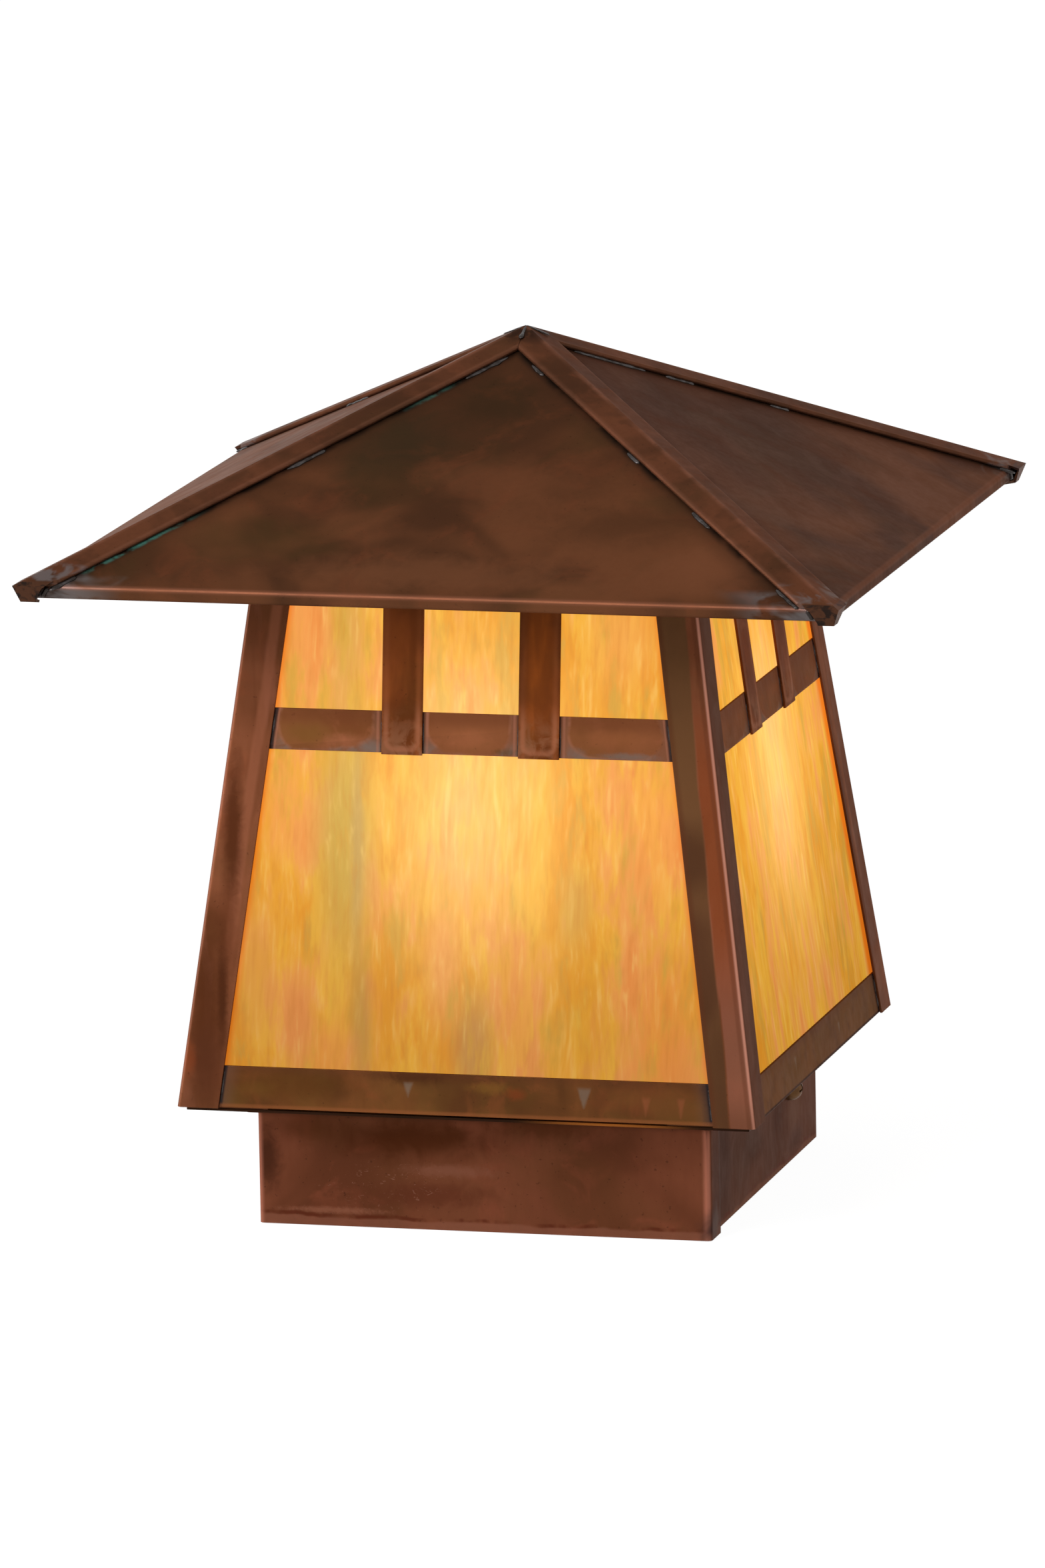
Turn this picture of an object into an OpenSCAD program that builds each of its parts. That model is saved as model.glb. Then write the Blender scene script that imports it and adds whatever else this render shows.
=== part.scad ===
// Deck post cap light: a flared copper lantern with art-glass sides and a hipped
// copper roof, standing on a square collar that slips over a timber deck post.
// Millimetres. Z is up, the front is -Y, and the origin is the centre of the
// collar's bottom edge.

/* [Sheet metal] */
// Thickness of the copper sheet that the collar, frame and roof are folded from
sheet = 0.8; // [0.6:0.1:1.2]
// Outside radius of a folded corner
bend_r = 1.6; // [1.3:0.1:2]
// Gap left between two folded edges that meet at a corner
joint_gap = 0.2; // [0.1:0.1:0.5]

/* [Post collar] */
// Actual width of the timber post that the collar slips over
post_w = 139.7; // [120:0.1:145]
// Gap between the post and the collar on each side
post_clearance = 1.6; // [0.8:0.1:3]
// Height of the collar
collar_h = 39.3; // [34:0.1:60]
// Reach of the folded bead outside the collar's top edge
bead_w = 3; // [2.5:0.1:4]
// Height of the folded bead
bead_h = 3.5; // [2.6:0.1:5]
// Width of the lap where the collar's two ends join on the right side
lap_w = 12; // [8:0.5:20]
// How far the lapped right wall is trimmed short at the bottom
lap_trim = 1.2; // [0.5:0.1:2]

/* [Base plate] */
// Thickness of the base plate
plate_t = 0.9; // [0.8:0.1:2]
// How far the base plate's edge lies inside the lantern's bottom edge
plate_inset = 2.5; // [2:0.1:4]

/* [Lantern frame] */
// Width across the lantern's bottom rails
frame_w = 184.8; // [182:0.1:190]
// Height from the bottom rails to the top rails' outer corner
frame_h = 198.4; // [180:0.1:210]
// Inward lean of each side
flare = 7.54; // [5:0.01:9]
// Width of the bottom, middle and top rails
rail_w = 12.9; // [10:0.1:16]
// Width of each leg of a corner post
corner_leg = 13.4; // [11:0.1:16]
// Width of an upright glazing bar
muntin_w = 13; // [10:0.1:15]
// Distance of a glazing bar's centre from the middle of its side
muntin_x = 21.8; // [18:0.1:26]
// Height of the middle rail's lower edge above the bottom rail
mid_rail_h = 110.9; // [95:0.1:125]
// How far a glazing bar hangs below the middle rail
muntin_drop = 0.5; // [0:0.1:2]
// How far a corner post hangs below the bottom rails
post_drop = 0.4; // [0:0.1:0.7]
// Width of the inward lip that carries the glass and the lantern
lip_w = 9; // [7:0.1:12]
// Width of the top rail's upper leg, soldered under the roof
roof_leg_w = 9; // [6:0.1:14]
// Thickness of the corner gussets that the lantern stands on
gusset_t = 0.8; // [0.6:0.1:1.5]
// Length of a corner gusset's legs
gusset_leg = 26; // [18:1:34]

/* [Glass] */
// Thickness of the art glass
glass_t = 3; // [2.5:0.1:3.5]
// Gap between the glass and the metal in front of and behind it
glass_gap = 0.1; // [0.1:0.05:0.4]
// Distance of a pane's side edge from the corner of the lantern
glass_edge = 6.6; // [6.5:0.1:8]
// Height of the gap above a pane
glass_top_gap = 4; // [3:0.5:8]
// Thickness of the bent tabs that hold the glass
tab_t = 0.6; // [0.4:0.1:0.8]
// Width of a glass tab
tab_w = 9; // [6:0.5:12]
// How far a glass tab reaches over the pane
tab_reach = 6; // [4:0.5:9]
// Height of the left tabs above the bottom and middle rails
tab_rise = 16; // [12:1:30]
// How much higher the right tabs sit than the left ones
tab_stagger = 16; // [12:1:24]

/* [Roof] */
// Width of the roof across its drip edges
roof_w = 254; // [240:0.5:280]
// Slope of the roof
roof_slope = 25.8; // [22:0.1:30]
// Height of the drip edge below the roof's upper bend
drip_h = 3.9; // [3:0.1:6]
// Width of each leg of a hip cap
cap_leg = 6.8; // [6:0.1:9]
// Width of the hem folded under a hip cap's edge
cap_hem = 3; // [2:0.1:4]
// How far the point of a hip cap stands out past the eaves
cap_over = 3; // [1:0.1:5]
// How far the folded end of a hip cap turns back under the drip edge
cap_return = 3; // [1:0.1:5]
// How much narrower the folded end of a hip cap is at its foot
cap_taper = 2; // [0:0.1:4]

/* [Lamp holder] */
// Height of the raised bracket under the lamp holder
bracket_h = 5; // [4.5:0.1:8]
// Thickness of the bracket
bracket_t = 1.2; // [1:0.1:1.6]
// Width of the bracket
bracket_w = 22; // [18:1:30]
// Half the length of the bracket's raised part
bracket_top = 34; // [32:0.5:40]
// Length of each bracket foot
bracket_foot = 12; // [10:0.5:16]
// Height of the porcelain body
holder_h = 32; // [30:0.5:40]
// Outside diameter of the porcelain barrel
holder_d = 37; // [35:0.5:40]
// Thickness of the porcelain floor
holder_floor = 5.5; // [5:0.5:8]
// Distance of a fixing screw from the middle of the lamp holder
holder_screw_x = 24; // [23:0.5:27]
// Inside diameter of the screw shell
shell_d = 26.8; // [26.6:0.1:27]
// Thickness of the screw shell
shell_t = 0.4; // [0.3:0.1:0.6]
// Height of the screw shell
shell_h = 21; // [16:0.5:24]
// Height of the spring contact above the porcelain floor
contact_h = 2.5; // [2:0.1:4]

/* [Bulb] */
// Diameter of the bulb's screw cap
cap_d = 26; // [25.6:0.1:26.2]
// Diameter of the glass bulb
bulb_d = 48; // [45:0.5:60]
// Length of the bulb from its contact to its top
bulb_len = 89; // [86:0.5:100]
// Thickness of the bulb's glass
bulb_wall = 0.7; // [0.5:0.1:1]

/* [Fasteners] */
// Diameter of a post screw
screw_d = 4.2; // [3.5:0.1:5]
// Diameter of a post screw's round head
screw_head_d = 7.5; // [6.5:0.1:9]
// Length of a post screw under its head
screw_len = 25.4; // [20:0.1:32]
// Height of the post screws above the collar's bottom edge
screw_z = 25; // [22:0.5:28]
// Distance of a post screw from the middle of its wall
screw_y = 35; // [20:0.5:45]
// Radial gap round a screw or a rivet in its hole
hole_gap = 0.2; // [0.1:0.05:0.4]
// Diameter of the machine screws in the lamp holder and of the earth screw
machine_d = 4; // [3.5:0.1:4.5]
// Diameter of the bracket's rivets
rivet_d = 3.2; // [3:0.1:4]

/* [Wire entry] */
// Diameter of the wire hole in the grommet
wire_d = 9.5; // [8:0.1:11]
// Diameter of the hole that the grommet sits in
grommet_hole_d = 13.8; // [13:0.1:15]
// Diameter of the grommet's flanges
grommet_d = 19; // [17:0.5:22]
// Thickness of one grommet flange
grommet_lip = 1.8; // [1.2:0.1:2.5]
// Radial gap between the grommet and the edge of its hole
grommet_gap = 0.05; // [0:0.01:0.2]
// Distance of the wire entry behind the lamp holder's centre
wire_y = 34; // [32:0.5:42]
// Distance of the earth screw in front of the lamp holder's centre
earth_y = 32; // [28:0.5:42]

/* [Locating clips] */
// Gap between a locating clip and the bottom rail's lip
clip_gap = 0.4; // [0.2:0.1:0.8]
// Height of a locating clip
clip_h = 8; // [6:0.5:12]
// Length of a locating clip
clip_w = 18; // [12:1:30]
// Width of a locating clip's foot
clip_foot = 9; // [7:0.5:12]

/* [Hidden] */

FRONT = 0;
RIGHT = 1;
BACK = 2;
LEFT = 3;
round_fn = 48;
reach = 400;
cut = 1;

roof_brown = [0.33, 0.19, 0.13];
frame_brown = [0.44, 0.25, 0.15];
base_brown = [0.38, 0.21, 0.14];
amber = [0.97, 0.68, 0.32, 0.85];
brass = [0.80, 0.62, 0.30];
steel = [0.62, 0.63, 0.65];
porcelain = [0.93, 0.92, 0.88];

// Collar and base plate, as half widths and heights
collar_in = post_w / 2 + post_clearance;
collar_out = collar_in + sheet;
bead_out = collar_out + bead_w;
plate_top = collar_h + plate_t;
plate_half = frame_w / 2 - plate_inset;
frame_z = plate_top + gusset_t;
frame_half = frame_w / 2;

// Flared sides. A sheet's thickness is longer when it is measured level.
lean = tan(flare);
sheet_level = sheet / cos(flare);
edge_lean = atan(sin(flare));
function half_at(z) = frame_half - (z - frame_z) * lean;
function face_v(z) = (z - frame_z) / cos(flare);
function face_half(v) = frame_half - v * sin(flare);

// Corner posts lean along the diagonal, and their legs open a little past square
post_lean = atan(sqrt(2) * lean);
post_angle = 180 - acos(sin(flare) * sin(flare));
bend_inner = bend_r - sheet;
corner_gap = bend_r + joint_gap;

// The roof rests on the top rails, so its height follows from them
rise = tan(roof_slope);
sheet_steep = sheet / cos(roof_slope);
rail_top_z = frame_z + frame_h;
rail_top_y = half_at(rail_top_z) - sheet_level;
roof_under = rail_top_z + rise * rail_top_y;
roof_peak = roof_under + sheet_steep;
roof_half = roof_w / 2;
eave_z = roof_peak - rise * roof_half;
drip_z = eave_z - drip_h;
frame_base = frame_half + frame_z * lean;
post_top_z = (roof_under - rise * frame_base) / (1 - rise * lean) - joint_gap;

// Hip caps run down the diagonals
hip_slope = atan(rise / sqrt(2));
cap_slope = acos(cos(roof_slope) * cos(roof_slope)) / 2;
cap_run = roof_half * sqrt(2);
cap_tip = roof_half + cap_over;

// Glass
glass_out = 2 * sheet + glass_gap;
glass_in = glass_out + glass_t;
glass_v0 = (sheet + glass_in * sin(flare)) / cos(flare);
glass_v1 = face_v(rail_top_z - glass_top_gap);
tab_outer = glass_edge - 2 * joint_gap;
tab_foot = tab_outer - corner_gap - joint_gap;
mid_v0 = face_v(frame_z + mid_rail_h);
mid_v1 = mid_v0 + rail_w;
tab_low_v = [rail_w + tab_rise, rail_w + tab_rise + tab_stagger];
tab_high_v = [mid_v1 + tab_rise, mid_v1 + tab_rise + tab_stagger];

// Lamp holder and bulb
holder_z = plate_top + bracket_h;
holder_base_t = 5;
shell_r = shell_d / 2;
cavity_r = shell_r + shell_t + joint_gap;
floor_z = holder_z + holder_floor;
bulb_z = floor_z + contact_h;
bulb_r = bulb_d / 2;
globe_z = bulb_len - bulb_r;
neck_r = cap_d / 2 - 0.8;
neck_z = 20;
neck_angle = 35;
cap_solid_h = neck_z - joint_gap;
cap_shell_h = 25;
rivet_x = bracket_top + bracket_t + bracket_foot / 2;

// ---- Shared helpers ----

// Points along an arc, for a section drawn in one outline
function arc(centre, r, from, to, steps = 8) =
    [for (i = [0:steps]) let (a = from + (to - from) * i / steps) centre + r * [cos(a), sin(a)]];

// Turns the front side's piece to one of the four sides
module on_side(side) {
    rotate([0, 0, 90 * side]) children();
}

// Local axes on the front face: x to the right, y up the slope, z outwards
module on_face() {
    translate([0, -frame_half, frame_z]) rotate([90 - flare, 0, 0]) children();
}

// Extrudes a section drawn as (Y, Z) along X, centred
module along_x(length) {
    rotate([90, 0, 90]) linear_extrude(length, center = true) children();
}

// Everything in front of the two diagonals, less a gap
module front_sector(gap) {
    linear_extrude(reach)
        polygon([[0, -gap], [-reach, -gap - reach], [reach, -gap - reach]]);
}

// A band across the front face between two heights, inset from the corners
module face_band(v0, v1, inset, near, far) {
    w0 = face_half(v0) - inset;
    w1 = face_half(v1) - inset;
    translate([0, 0, -far])
        linear_extrude(far - near)
            polygon([[-w0, v0], [w0, v0], [w1, v1], [-w1, v1]]);
}

module rounded_square(half, r) {
    square([2 * half, 2 * (half - r)], center = true);
    square([2 * (half - r), 2 * half], center = true);
    for (x = [-1, 1], y = [-1, 1])
        translate([x * (half - r), y * (half - r)]) circle(r, $fn = round_fn);
}

module square_ring(outer, inner, r) {
    difference() {
        rounded_square(outer, r);
        rounded_square(inner, max(r - (outer - inner), 0.4));
    }
}

// ---- Roof ----

// Section of one panel: the slope, its rounded eave and the doubled drip edge
module panel_section() {
    tangent = bend_r / tan((90 + roof_slope) / 2);
    eave = [bend_r - roof_half, eave_z - tangent];
    hem = [sheet - roof_half, drip_z + sheet];
    hem_top = eave_z - tangent - joint_gap;
    polygon(concat(
        [[0, roof_peak]],
        arc(eave, bend_r, 90 + roof_slope, 180),
        arc(hem, sheet, 180, 360),
        [[2 * sheet - roof_half, hem_top], [sheet - roof_half, hem_top]],
        arc(eave, bend_inner, 180, 90 + roof_slope),
        [[0, roof_under]]
    ));
}

module roof_panel(side) {
    on_side(side) intersection() {
        along_x(roof_w) panel_section();
        front_sector(joint_gap);
    }
}

module roof_panel_front() { color(roof_brown) roof_panel(FRONT); }
module roof_panel_right() { color(roof_brown) roof_panel(RIGHT); }
module roof_panel_back() { color(roof_brown) roof_panel(BACK); }
module roof_panel_left() { color(roof_brown) roof_panel(LEFT); }

// Section of a hip cap across the hip: a shallow V with both edges hemmed under
module cap_section() {
    inner = sheet / cos(cap_slope);
    out_x = cap_leg * cos(cap_slope);
    out_y = cap_leg * sin(cap_slope);
    step_x = sheet * sin(cap_slope);
    step_y = sheet * cos(cap_slope);
    polygon([
        [0, 2 * inner],
        [out_x + 2 * step_x, 2 * step_y - out_y],
        [out_x + step_x, step_y - out_y],
        [0, inner],
        [-out_x - step_x, step_y - out_y],
        [-out_x - 2 * step_x, 2 * step_y - out_y]
    ]);
    for (m = [0, 1]) mirror([m, 0]) rotate(-cap_slope) {
        translate([cap_leg - cap_hem, 0]) square([cap_hem, sheet]);
        translate([cap_leg, sheet]) circle(sheet, $fn = round_fn);
    }
}

// The end of one leg: it runs on past the eaves, folds down over them and turns
// back under the drip edge, narrowing on the way
module cap_end_fold() {
    start = roof_half - sheet;
    foot = roof_half + joint_gap;
    back = roof_half - cap_return;
    top_z = roof_peak + 2 * sheet_steep - rise * cap_tip;
    foot_z = drip_z - joint_gap;
    back_z = foot_z - sheet;
    edge_x = cap_tip - sqrt(2) * cap_leg * cos(cap_slope);
    intersection() {
        along_x(2 * cap_tip) polygon([
            [-start, top_z + rise * (cap_tip - start)],
            [-cap_tip, top_z],
            [-foot - sheet, foot_z - sheet],
            [-back, back_z - sheet],
            [-back, back_z],
            [-foot, foot_z],
            [sheet - cap_tip, top_z - sheet_steep],
            [-start, top_z + rise * (cap_tip - start) - sheet_steep]
        ]);
        rotate([90, 0, 0]) linear_extrude(cap_tip) polygon([
            [edge_x - cap_over - sheet, top_z + rise * (cap_tip - start)],
            [edge_x, top_z - sheet],
            [edge_x + cap_taper, foot_z],
            [back - sheet, back_z - sheet],
            [cap_tip, back_z - sheet],
            [cap_tip, top_z + rise * (cap_tip - start)]
        ]);
        front_sector(0);
    }
}

module hip_cap(corner) {
    middle = (cap_run + joint_gap / 2) / 2;
    side_y = (cap_run - joint_gap / 2) / 2;
    on_side(corner) rotate([0, 0, -45]) {
        intersection() {
            translate([0, 0, roof_peak]) rotate([0, hip_slope, 0])
                rotate([90, 0, 90]) linear_extrude(2 * cap_run) cap_section();
            linear_extrude(reach)
                polygon([[joint_gap / 2, 0], [middle, side_y], [cap_run, 0], [middle, -side_y]]);
        }
        for (m = [0, 1]) mirror([0, m, 0]) rotate([0, 0, 45]) cap_end_fold();
    }
}

module hip_cap_front_right() { color(roof_brown) hip_cap(FRONT); }
module hip_cap_back_right() { color(roof_brown) hip_cap(RIGHT); }
module hip_cap_back_left() { color(roof_brown) hip_cap(BACK); }
module hip_cap_front_left() { color(roof_brown) hip_cap(LEFT); }

// ---- Lantern frame ----

// Section of a corner post, its outer corner at the origin and opening to -x
module post_section() {
    leg = corner_leg * cos(edge_lean);
    half = post_angle / 2;
    bend = [-bend_r / sin(half), 0];
    upper = leg * [-cos(half), sin(half)];
    lower = leg * [-cos(half), -sin(half)];
    polygon(concat(
        [upper],
        arc(bend, bend_r, 90 - half, half - 90),
        [lower, lower + sheet * [-sin(half), cos(half)]],
        arc(bend, bend_inner, half - 90, 90 - half),
        [upper - sheet * [sin(half), cos(half)]]
    ));
}

module corner_post(corner) {
    low = frame_z - post_drop;
    on_side(corner) intersection() {
        translate([frame_half, -frame_half, frame_z])
            rotate([0, 0, -45]) rotate([0, -post_lean, 0])
                translate([0, 0, -rail_w]) linear_extrude(frame_h + 3 * rail_w) post_section();
        translate([0, -frame_w, low]) cube([frame_w, frame_w, post_top_z - low]);
    }
}

module corner_post_front_right() { color(frame_brown) corner_post(FRONT); }
module corner_post_back_right() { color(frame_brown) corner_post(RIGHT); }
module corner_post_back_left() { color(frame_brown) corner_post(BACK); }
module corner_post_front_left() { color(frame_brown) corner_post(LEFT); }

// Angle section: a leaning face with a level lip that carries the glass
module bottom_rail(side) {
    high = frame_z + rail_w * cos(flare);
    lip = -half_at(frame_z) + sheet_level + lip_w;
    on_side(side) intersection() {
        along_x(frame_w) polygon([
            [sheet_level - half_at(frame_z), frame_z],
            [sheet_level - half_at(high), high],
            [2 * sheet_level - half_at(high), high],
            [2 * sheet_level - half_at(frame_z + sheet), frame_z + sheet],
            [lip, frame_z + sheet],
            [lip, frame_z]
        ]);
        front_sector(corner_gap - sheet_level);
    }
}

module bottom_rail_front() { color(frame_brown) bottom_rail(FRONT); }
module bottom_rail_right() { color(frame_brown) bottom_rail(RIGHT); }
module bottom_rail_back() { color(frame_brown) bottom_rail(BACK); }
module bottom_rail_left() { color(frame_brown) bottom_rail(LEFT); }

module mid_rail(side) {
    on_side(side) on_face() face_band(mid_v0, mid_v1, corner_gap, sheet, 2 * sheet);
}

module mid_rail_front() { color(frame_brown) mid_rail(FRONT); }
module mid_rail_right() { color(frame_brown) mid_rail(RIGHT); }
module mid_rail_back() { color(frame_brown) mid_rail(BACK); }
module mid_rail_left() { color(frame_brown) mid_rail(LEFT); }

// Bent angle: a leaning face, and an upper leg that follows the roof's underside
module top_rail(side) {
    low = rail_top_z - rail_w;
    inner_z = (rail_top_z + rise * (2 * sheet_level - frame_base + rail_top_y) - sheet_steep)
        / (1 - rise * lean);
    on_side(side) intersection() {
        along_x(frame_w) polygon([
            [sheet_level - half_at(low), low],
            [-rail_top_y, rail_top_z],
            [-rail_top_y + roof_leg_w, rail_top_z + roof_leg_w * rise],
            [-rail_top_y + roof_leg_w, rail_top_z + roof_leg_w * rise - sheet_steep],
            [2 * sheet_level - half_at(inner_z), inner_z],
            [2 * sheet_level - half_at(low), low]
        ]);
        front_sector(corner_gap - sheet_level);
    }
}

module top_rail_front() { color(frame_brown) top_rail(FRONT); }
module top_rail_right() { color(frame_brown) top_rail(RIGHT); }
module top_rail_back() { color(frame_brown) top_rail(BACK); }
module top_rail_left() { color(frame_brown) top_rail(LEFT); }

// An upright glazing bar, lapped over the middle rail and the top rail
module muntin(side, hand) {
    v0 = mid_v0 - muntin_drop;
    on_side(side) on_face()
        translate([hand * muntin_x - muntin_w / 2, v0, -sheet])
            cube([muntin_w, face_v(post_top_z) - v0, sheet]);
}

module muntin_front_left() { color(frame_brown) muntin(FRONT, -1); }
module muntin_front_right() { color(frame_brown) muntin(FRONT, 1); }
module muntin_right_front() { color(frame_brown) muntin(RIGHT, -1); }
module muntin_right_back() { color(frame_brown) muntin(RIGHT, 1); }
module muntin_back_right() { color(frame_brown) muntin(BACK, -1); }
module muntin_back_left() { color(frame_brown) muntin(BACK, 1); }
module muntin_left_back() { color(frame_brown) muntin(LEFT, -1); }
module muntin_left_front() { color(frame_brown) muntin(LEFT, 1); }

// Triangular plates under the rails' corners, on which the lantern stands
module corner_gussets() {
    c = plate_half - joint_gap;
    color(frame_brown) for (i = [0:3]) on_side(i)
        translate([0, 0, plate_top]) linear_extrude(gusset_t)
            polygon([[c, -c], [c, -c + gusset_leg], [c - gusset_leg, -c]]);
}

// ---- Glass ----

module glass_pane(side) {
    on_side(side) on_face() face_band(glass_v0, glass_v1, glass_edge, glass_out, glass_in);
}

module glass_pane_front() { color(amber) glass_pane(FRONT); }
module glass_pane_right() { color(amber) glass_pane(RIGHT); }
module glass_pane_back() { color(amber) glass_pane(BACK); }
module glass_pane_left() { color(amber) glass_pane(LEFT); }

// A strip soldered inside a corner post and bent over the edge of the glass
module glass_tab(v) {
    behind = glass_in + glass_gap;
    translate([face_half(v), v, 0]) rotate([0, 0, edge_lean])
        rotate([90, 0, 0]) linear_extrude(tab_w, center = true) polygon([
            [tab_foot - tab_outer, -sheet],
            [-tab_outer, -sheet],
            [-tab_outer, -behind],
            [-tab_outer - tab_reach, -behind],
            [-tab_outer - tab_reach, -behind - tab_t],
            [-tab_outer + tab_t, -behind - tab_t],
            [-tab_outer + tab_t, -sheet - tab_t],
            [tab_foot - tab_outer, -sheet - tab_t]
        ]);
}

module glass_tabs(side) {
    on_side(side) on_face() for (m = [0, 1]) mirror([m, 0, 0]) {
        glass_tab(tab_low_v[m]);
        glass_tab(tab_high_v[m]);
    }
}

module glass_tabs_front() { color(frame_brown) glass_tabs(FRONT); }
module glass_tabs_right() { color(frame_brown) glass_tabs(RIGHT); }
module glass_tabs_back() { color(frame_brown) glass_tabs(BACK); }
module glass_tabs_left() { color(frame_brown) glass_tabs(LEFT); }

// ---- Collar and base plate ----

// One folded strip. Its front end wraps the corner and laps the right wall.
module collar() {
    bead_low = collar_h - bead_h;
    lap_x = collar_out + sheet;
    color(base_brown) difference() {
        union() {
            linear_extrude(collar_h) square_ring(collar_out, collar_in, bend_r);
            linear_extrude(bead_low - joint_gap) difference() {
                union() {
                    translate([lap_x - bend_r, bend_r - collar_out])
                        circle(bend_r, $fn = round_fn);
                    translate([collar_out, bend_r - collar_out])
                        square([sheet, lap_w - bend_r]);
                    translate([collar_out - 2 * bend_r, -collar_out])
                        square([2 * bend_r + sheet - bend_r, sheet]);
                }
                translate([collar_out - 4 * bend_r, sheet - collar_out])
                    square([4 * bend_r - sheet, lap_w]);
            }
            translate([0, 0, collar_h - sheet]) linear_extrude(sheet)
                square_ring(bead_out, collar_in, bend_r);
            translate([0, 0, bead_low]) linear_extrude(bead_h)
                square_ring(bead_out, bead_out - sheet, bend_r);
            translate([0, 0, bead_low]) linear_extrude(sheet)
                square_ring(bead_out, collar_out + joint_gap, bend_r);
        }
        translate([collar_in - cut, lap_w - collar_out, -cut])
            cube([2 * cut + sheet, 2 * collar_out, cut + lap_trim]);
        for (i = [0, 2]) on_side(i) translate([collar_in - cut, screw_y, screw_z])
            rotate([0, 90, 0])
                cylinder(sheet + 2 * cut, d = screw_d + 2 * hole_gap, $fn = round_fn);
    }
}

module base_plate() {
    color(base_brown) difference() {
        translate([-plate_half, -plate_half, collar_h])
            cube([2 * plate_half, 2 * plate_half, plate_t]);
        translate([0, wire_y, collar_h - cut])
            cylinder(plate_t + 2 * cut, d = grommet_hole_d, $fn = round_fn);
        translate([0, -earth_y, collar_h - cut])
            cylinder(plate_t + 2 * cut, d = machine_d + 2 * hole_gap, $fn = round_fn);
        for (x = [-rivet_x, rivet_x]) translate([x, 0, collar_h - cut])
            cylinder(plate_t + 2 * cut, d = rivet_d + 2 * hole_gap, $fn = round_fn);
    }
}

// Bent strips that stand inside the bottom rails' lips and centre the lantern
module locating_clips() {
    y = half_at(frame_z) - sheet_level - lip_w - clip_gap;
    bend = 0.7 * clip_h;
    color(base_brown) for (i = [0:3]) on_side(i)
        translate([0, 0, plate_top]) along_x(clip_w) polygon([
            [-y, 0],
            [-y, bend],
            [-y + 1, clip_h],
            [-y + 1 + sheet, clip_h],
            [-y + sheet, bend],
            [-y + sheet, sheet],
            [-y + clip_foot, sheet],
            [-y + clip_foot, 0]
        ]);
}

// ---- Lamp holder ----

module socket_bracket() {
    side = bracket_top + bracket_t;
    far = side + bracket_foot;
    color(steel) difference() {
        translate([0, 0, plate_top]) rotate([90, 0, 0])
            linear_extrude(bracket_w, center = true) polygon([
                [far, 0],
                [far, bracket_t],
                [side, bracket_t],
                [side, bracket_h],
                [-side, bracket_h],
                [-side, bracket_t],
                [-far, bracket_t],
                [-far, 0],
                [-bracket_top, 0],
                [-bracket_top, bracket_h - bracket_t],
                [bracket_top, bracket_h - bracket_t],
                [bracket_top, 0]
            ]);
        for (s = [-1, 1]) {
            translate([s * rivet_x, 0, plate_top - cut])
                cylinder(bracket_t + 2 * cut, d = rivet_d + 2 * hole_gap, $fn = round_fn);
            translate([s * holder_screw_x, 0, holder_z - bracket_t - cut])
                cylinder(bracket_t + 2 * cut, d = machine_d + 2 * hole_gap, $fn = round_fn);
        }
    }
}

// Domed rivets through the bracket's feet and the base plate
module bracket_rivets() {
    head_d = 1.9 * rivet_d;
    head_h = 0.5 * rivet_d;
    grip = plate_t + bracket_t;
    color(steel) for (s = [-1, 1]) translate([s * rivet_x, 0, collar_h]) {
        translate([0, 0, -head_h / 2]) cylinder(head_h / 2, d = 1.5 * rivet_d, $fn = round_fn);
        cylinder(grip, d = rivet_d, $fn = round_fn);
        translate([0, 0, grip]) dome(head_d, head_h);
    }
}

// A round screw or rivet head on the plane z = 0
module dome(d, h) {
    sphere_r = (h * h + d * d / 4) / (2 * h);
    intersection() {
        translate([0, 0, h - sphere_r]) sphere(sphere_r, $fn = round_fn);
        cylinder(h + cut, d = d, $fn = round_fn);
    }
}

// Porcelain: a stepped barrel on a base with an ear at each side for its screw
module socket_body() {
    ear_r = 7;
    rim = 1;
    color(porcelain) difference() {
        union() {
            translate([0, 0, holder_z]) linear_extrude(holder_base_t) {
                circle(d = holder_d + 5, $fn = round_fn);
                square([2 * holder_screw_x, 2 * ear_r], center = true);
                for (s = [-1, 1]) translate([s * holder_screw_x, 0]) circle(ear_r, $fn = round_fn);
            }
            translate([0, 0, holder_z]) rotate_extrude($fn = round_fn) polygon([
                [0, 0],
                [holder_d / 2, 0],
                [holder_d / 2, holder_h - rim],
                [holder_d / 2 - rim, holder_h],
                [0, holder_h]
            ]);
        }
        translate([0, 0, floor_z]) cylinder(holder_h, r = cavity_r, $fn = round_fn);
        for (s = [-1, 1]) {
            translate([s * holder_screw_x, 0, holder_z - cut])
                cylinder(holder_base_t + 2 * cut, d = machine_d + 2 * hole_gap, $fn = round_fn);
            translate([0, s * 8, holder_z - cut])
                cylinder(holder_floor + 2 * cut, d = 3, $fn = round_fn);
        }
    }
}

module socket_shell() {
    color(brass) translate([0, 0, floor_z]) rotate_extrude($fn = round_fn) polygon([
        [shell_r - 2, 0],
        [shell_r + shell_t, 0],
        [shell_r + shell_t, shell_h],
        [shell_r, shell_h],
        [shell_r, shell_t],
        [shell_r - 2, shell_t]
    ]);
}

// A springy tongue, folded up from the floor and pressed by the bulb's tip
module socket_contact() {
    long = 7;
    width = 6;
    color(brass) translate([0, 0, floor_z]) rotate([90, 0, 0])
        linear_extrude(width, center = true) polygon([
            [-long, 0],
            [long, 0],
            [long, shell_t],
            [-long + 2 * shell_t, shell_t],
            [-long / 2, contact_h - shell_t],
            [long / 2, contact_h - shell_t],
            [long / 2, contact_h],
            [-long / 2 - shell_t, contact_h],
            [-long, shell_t]
        ]);
}

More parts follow.
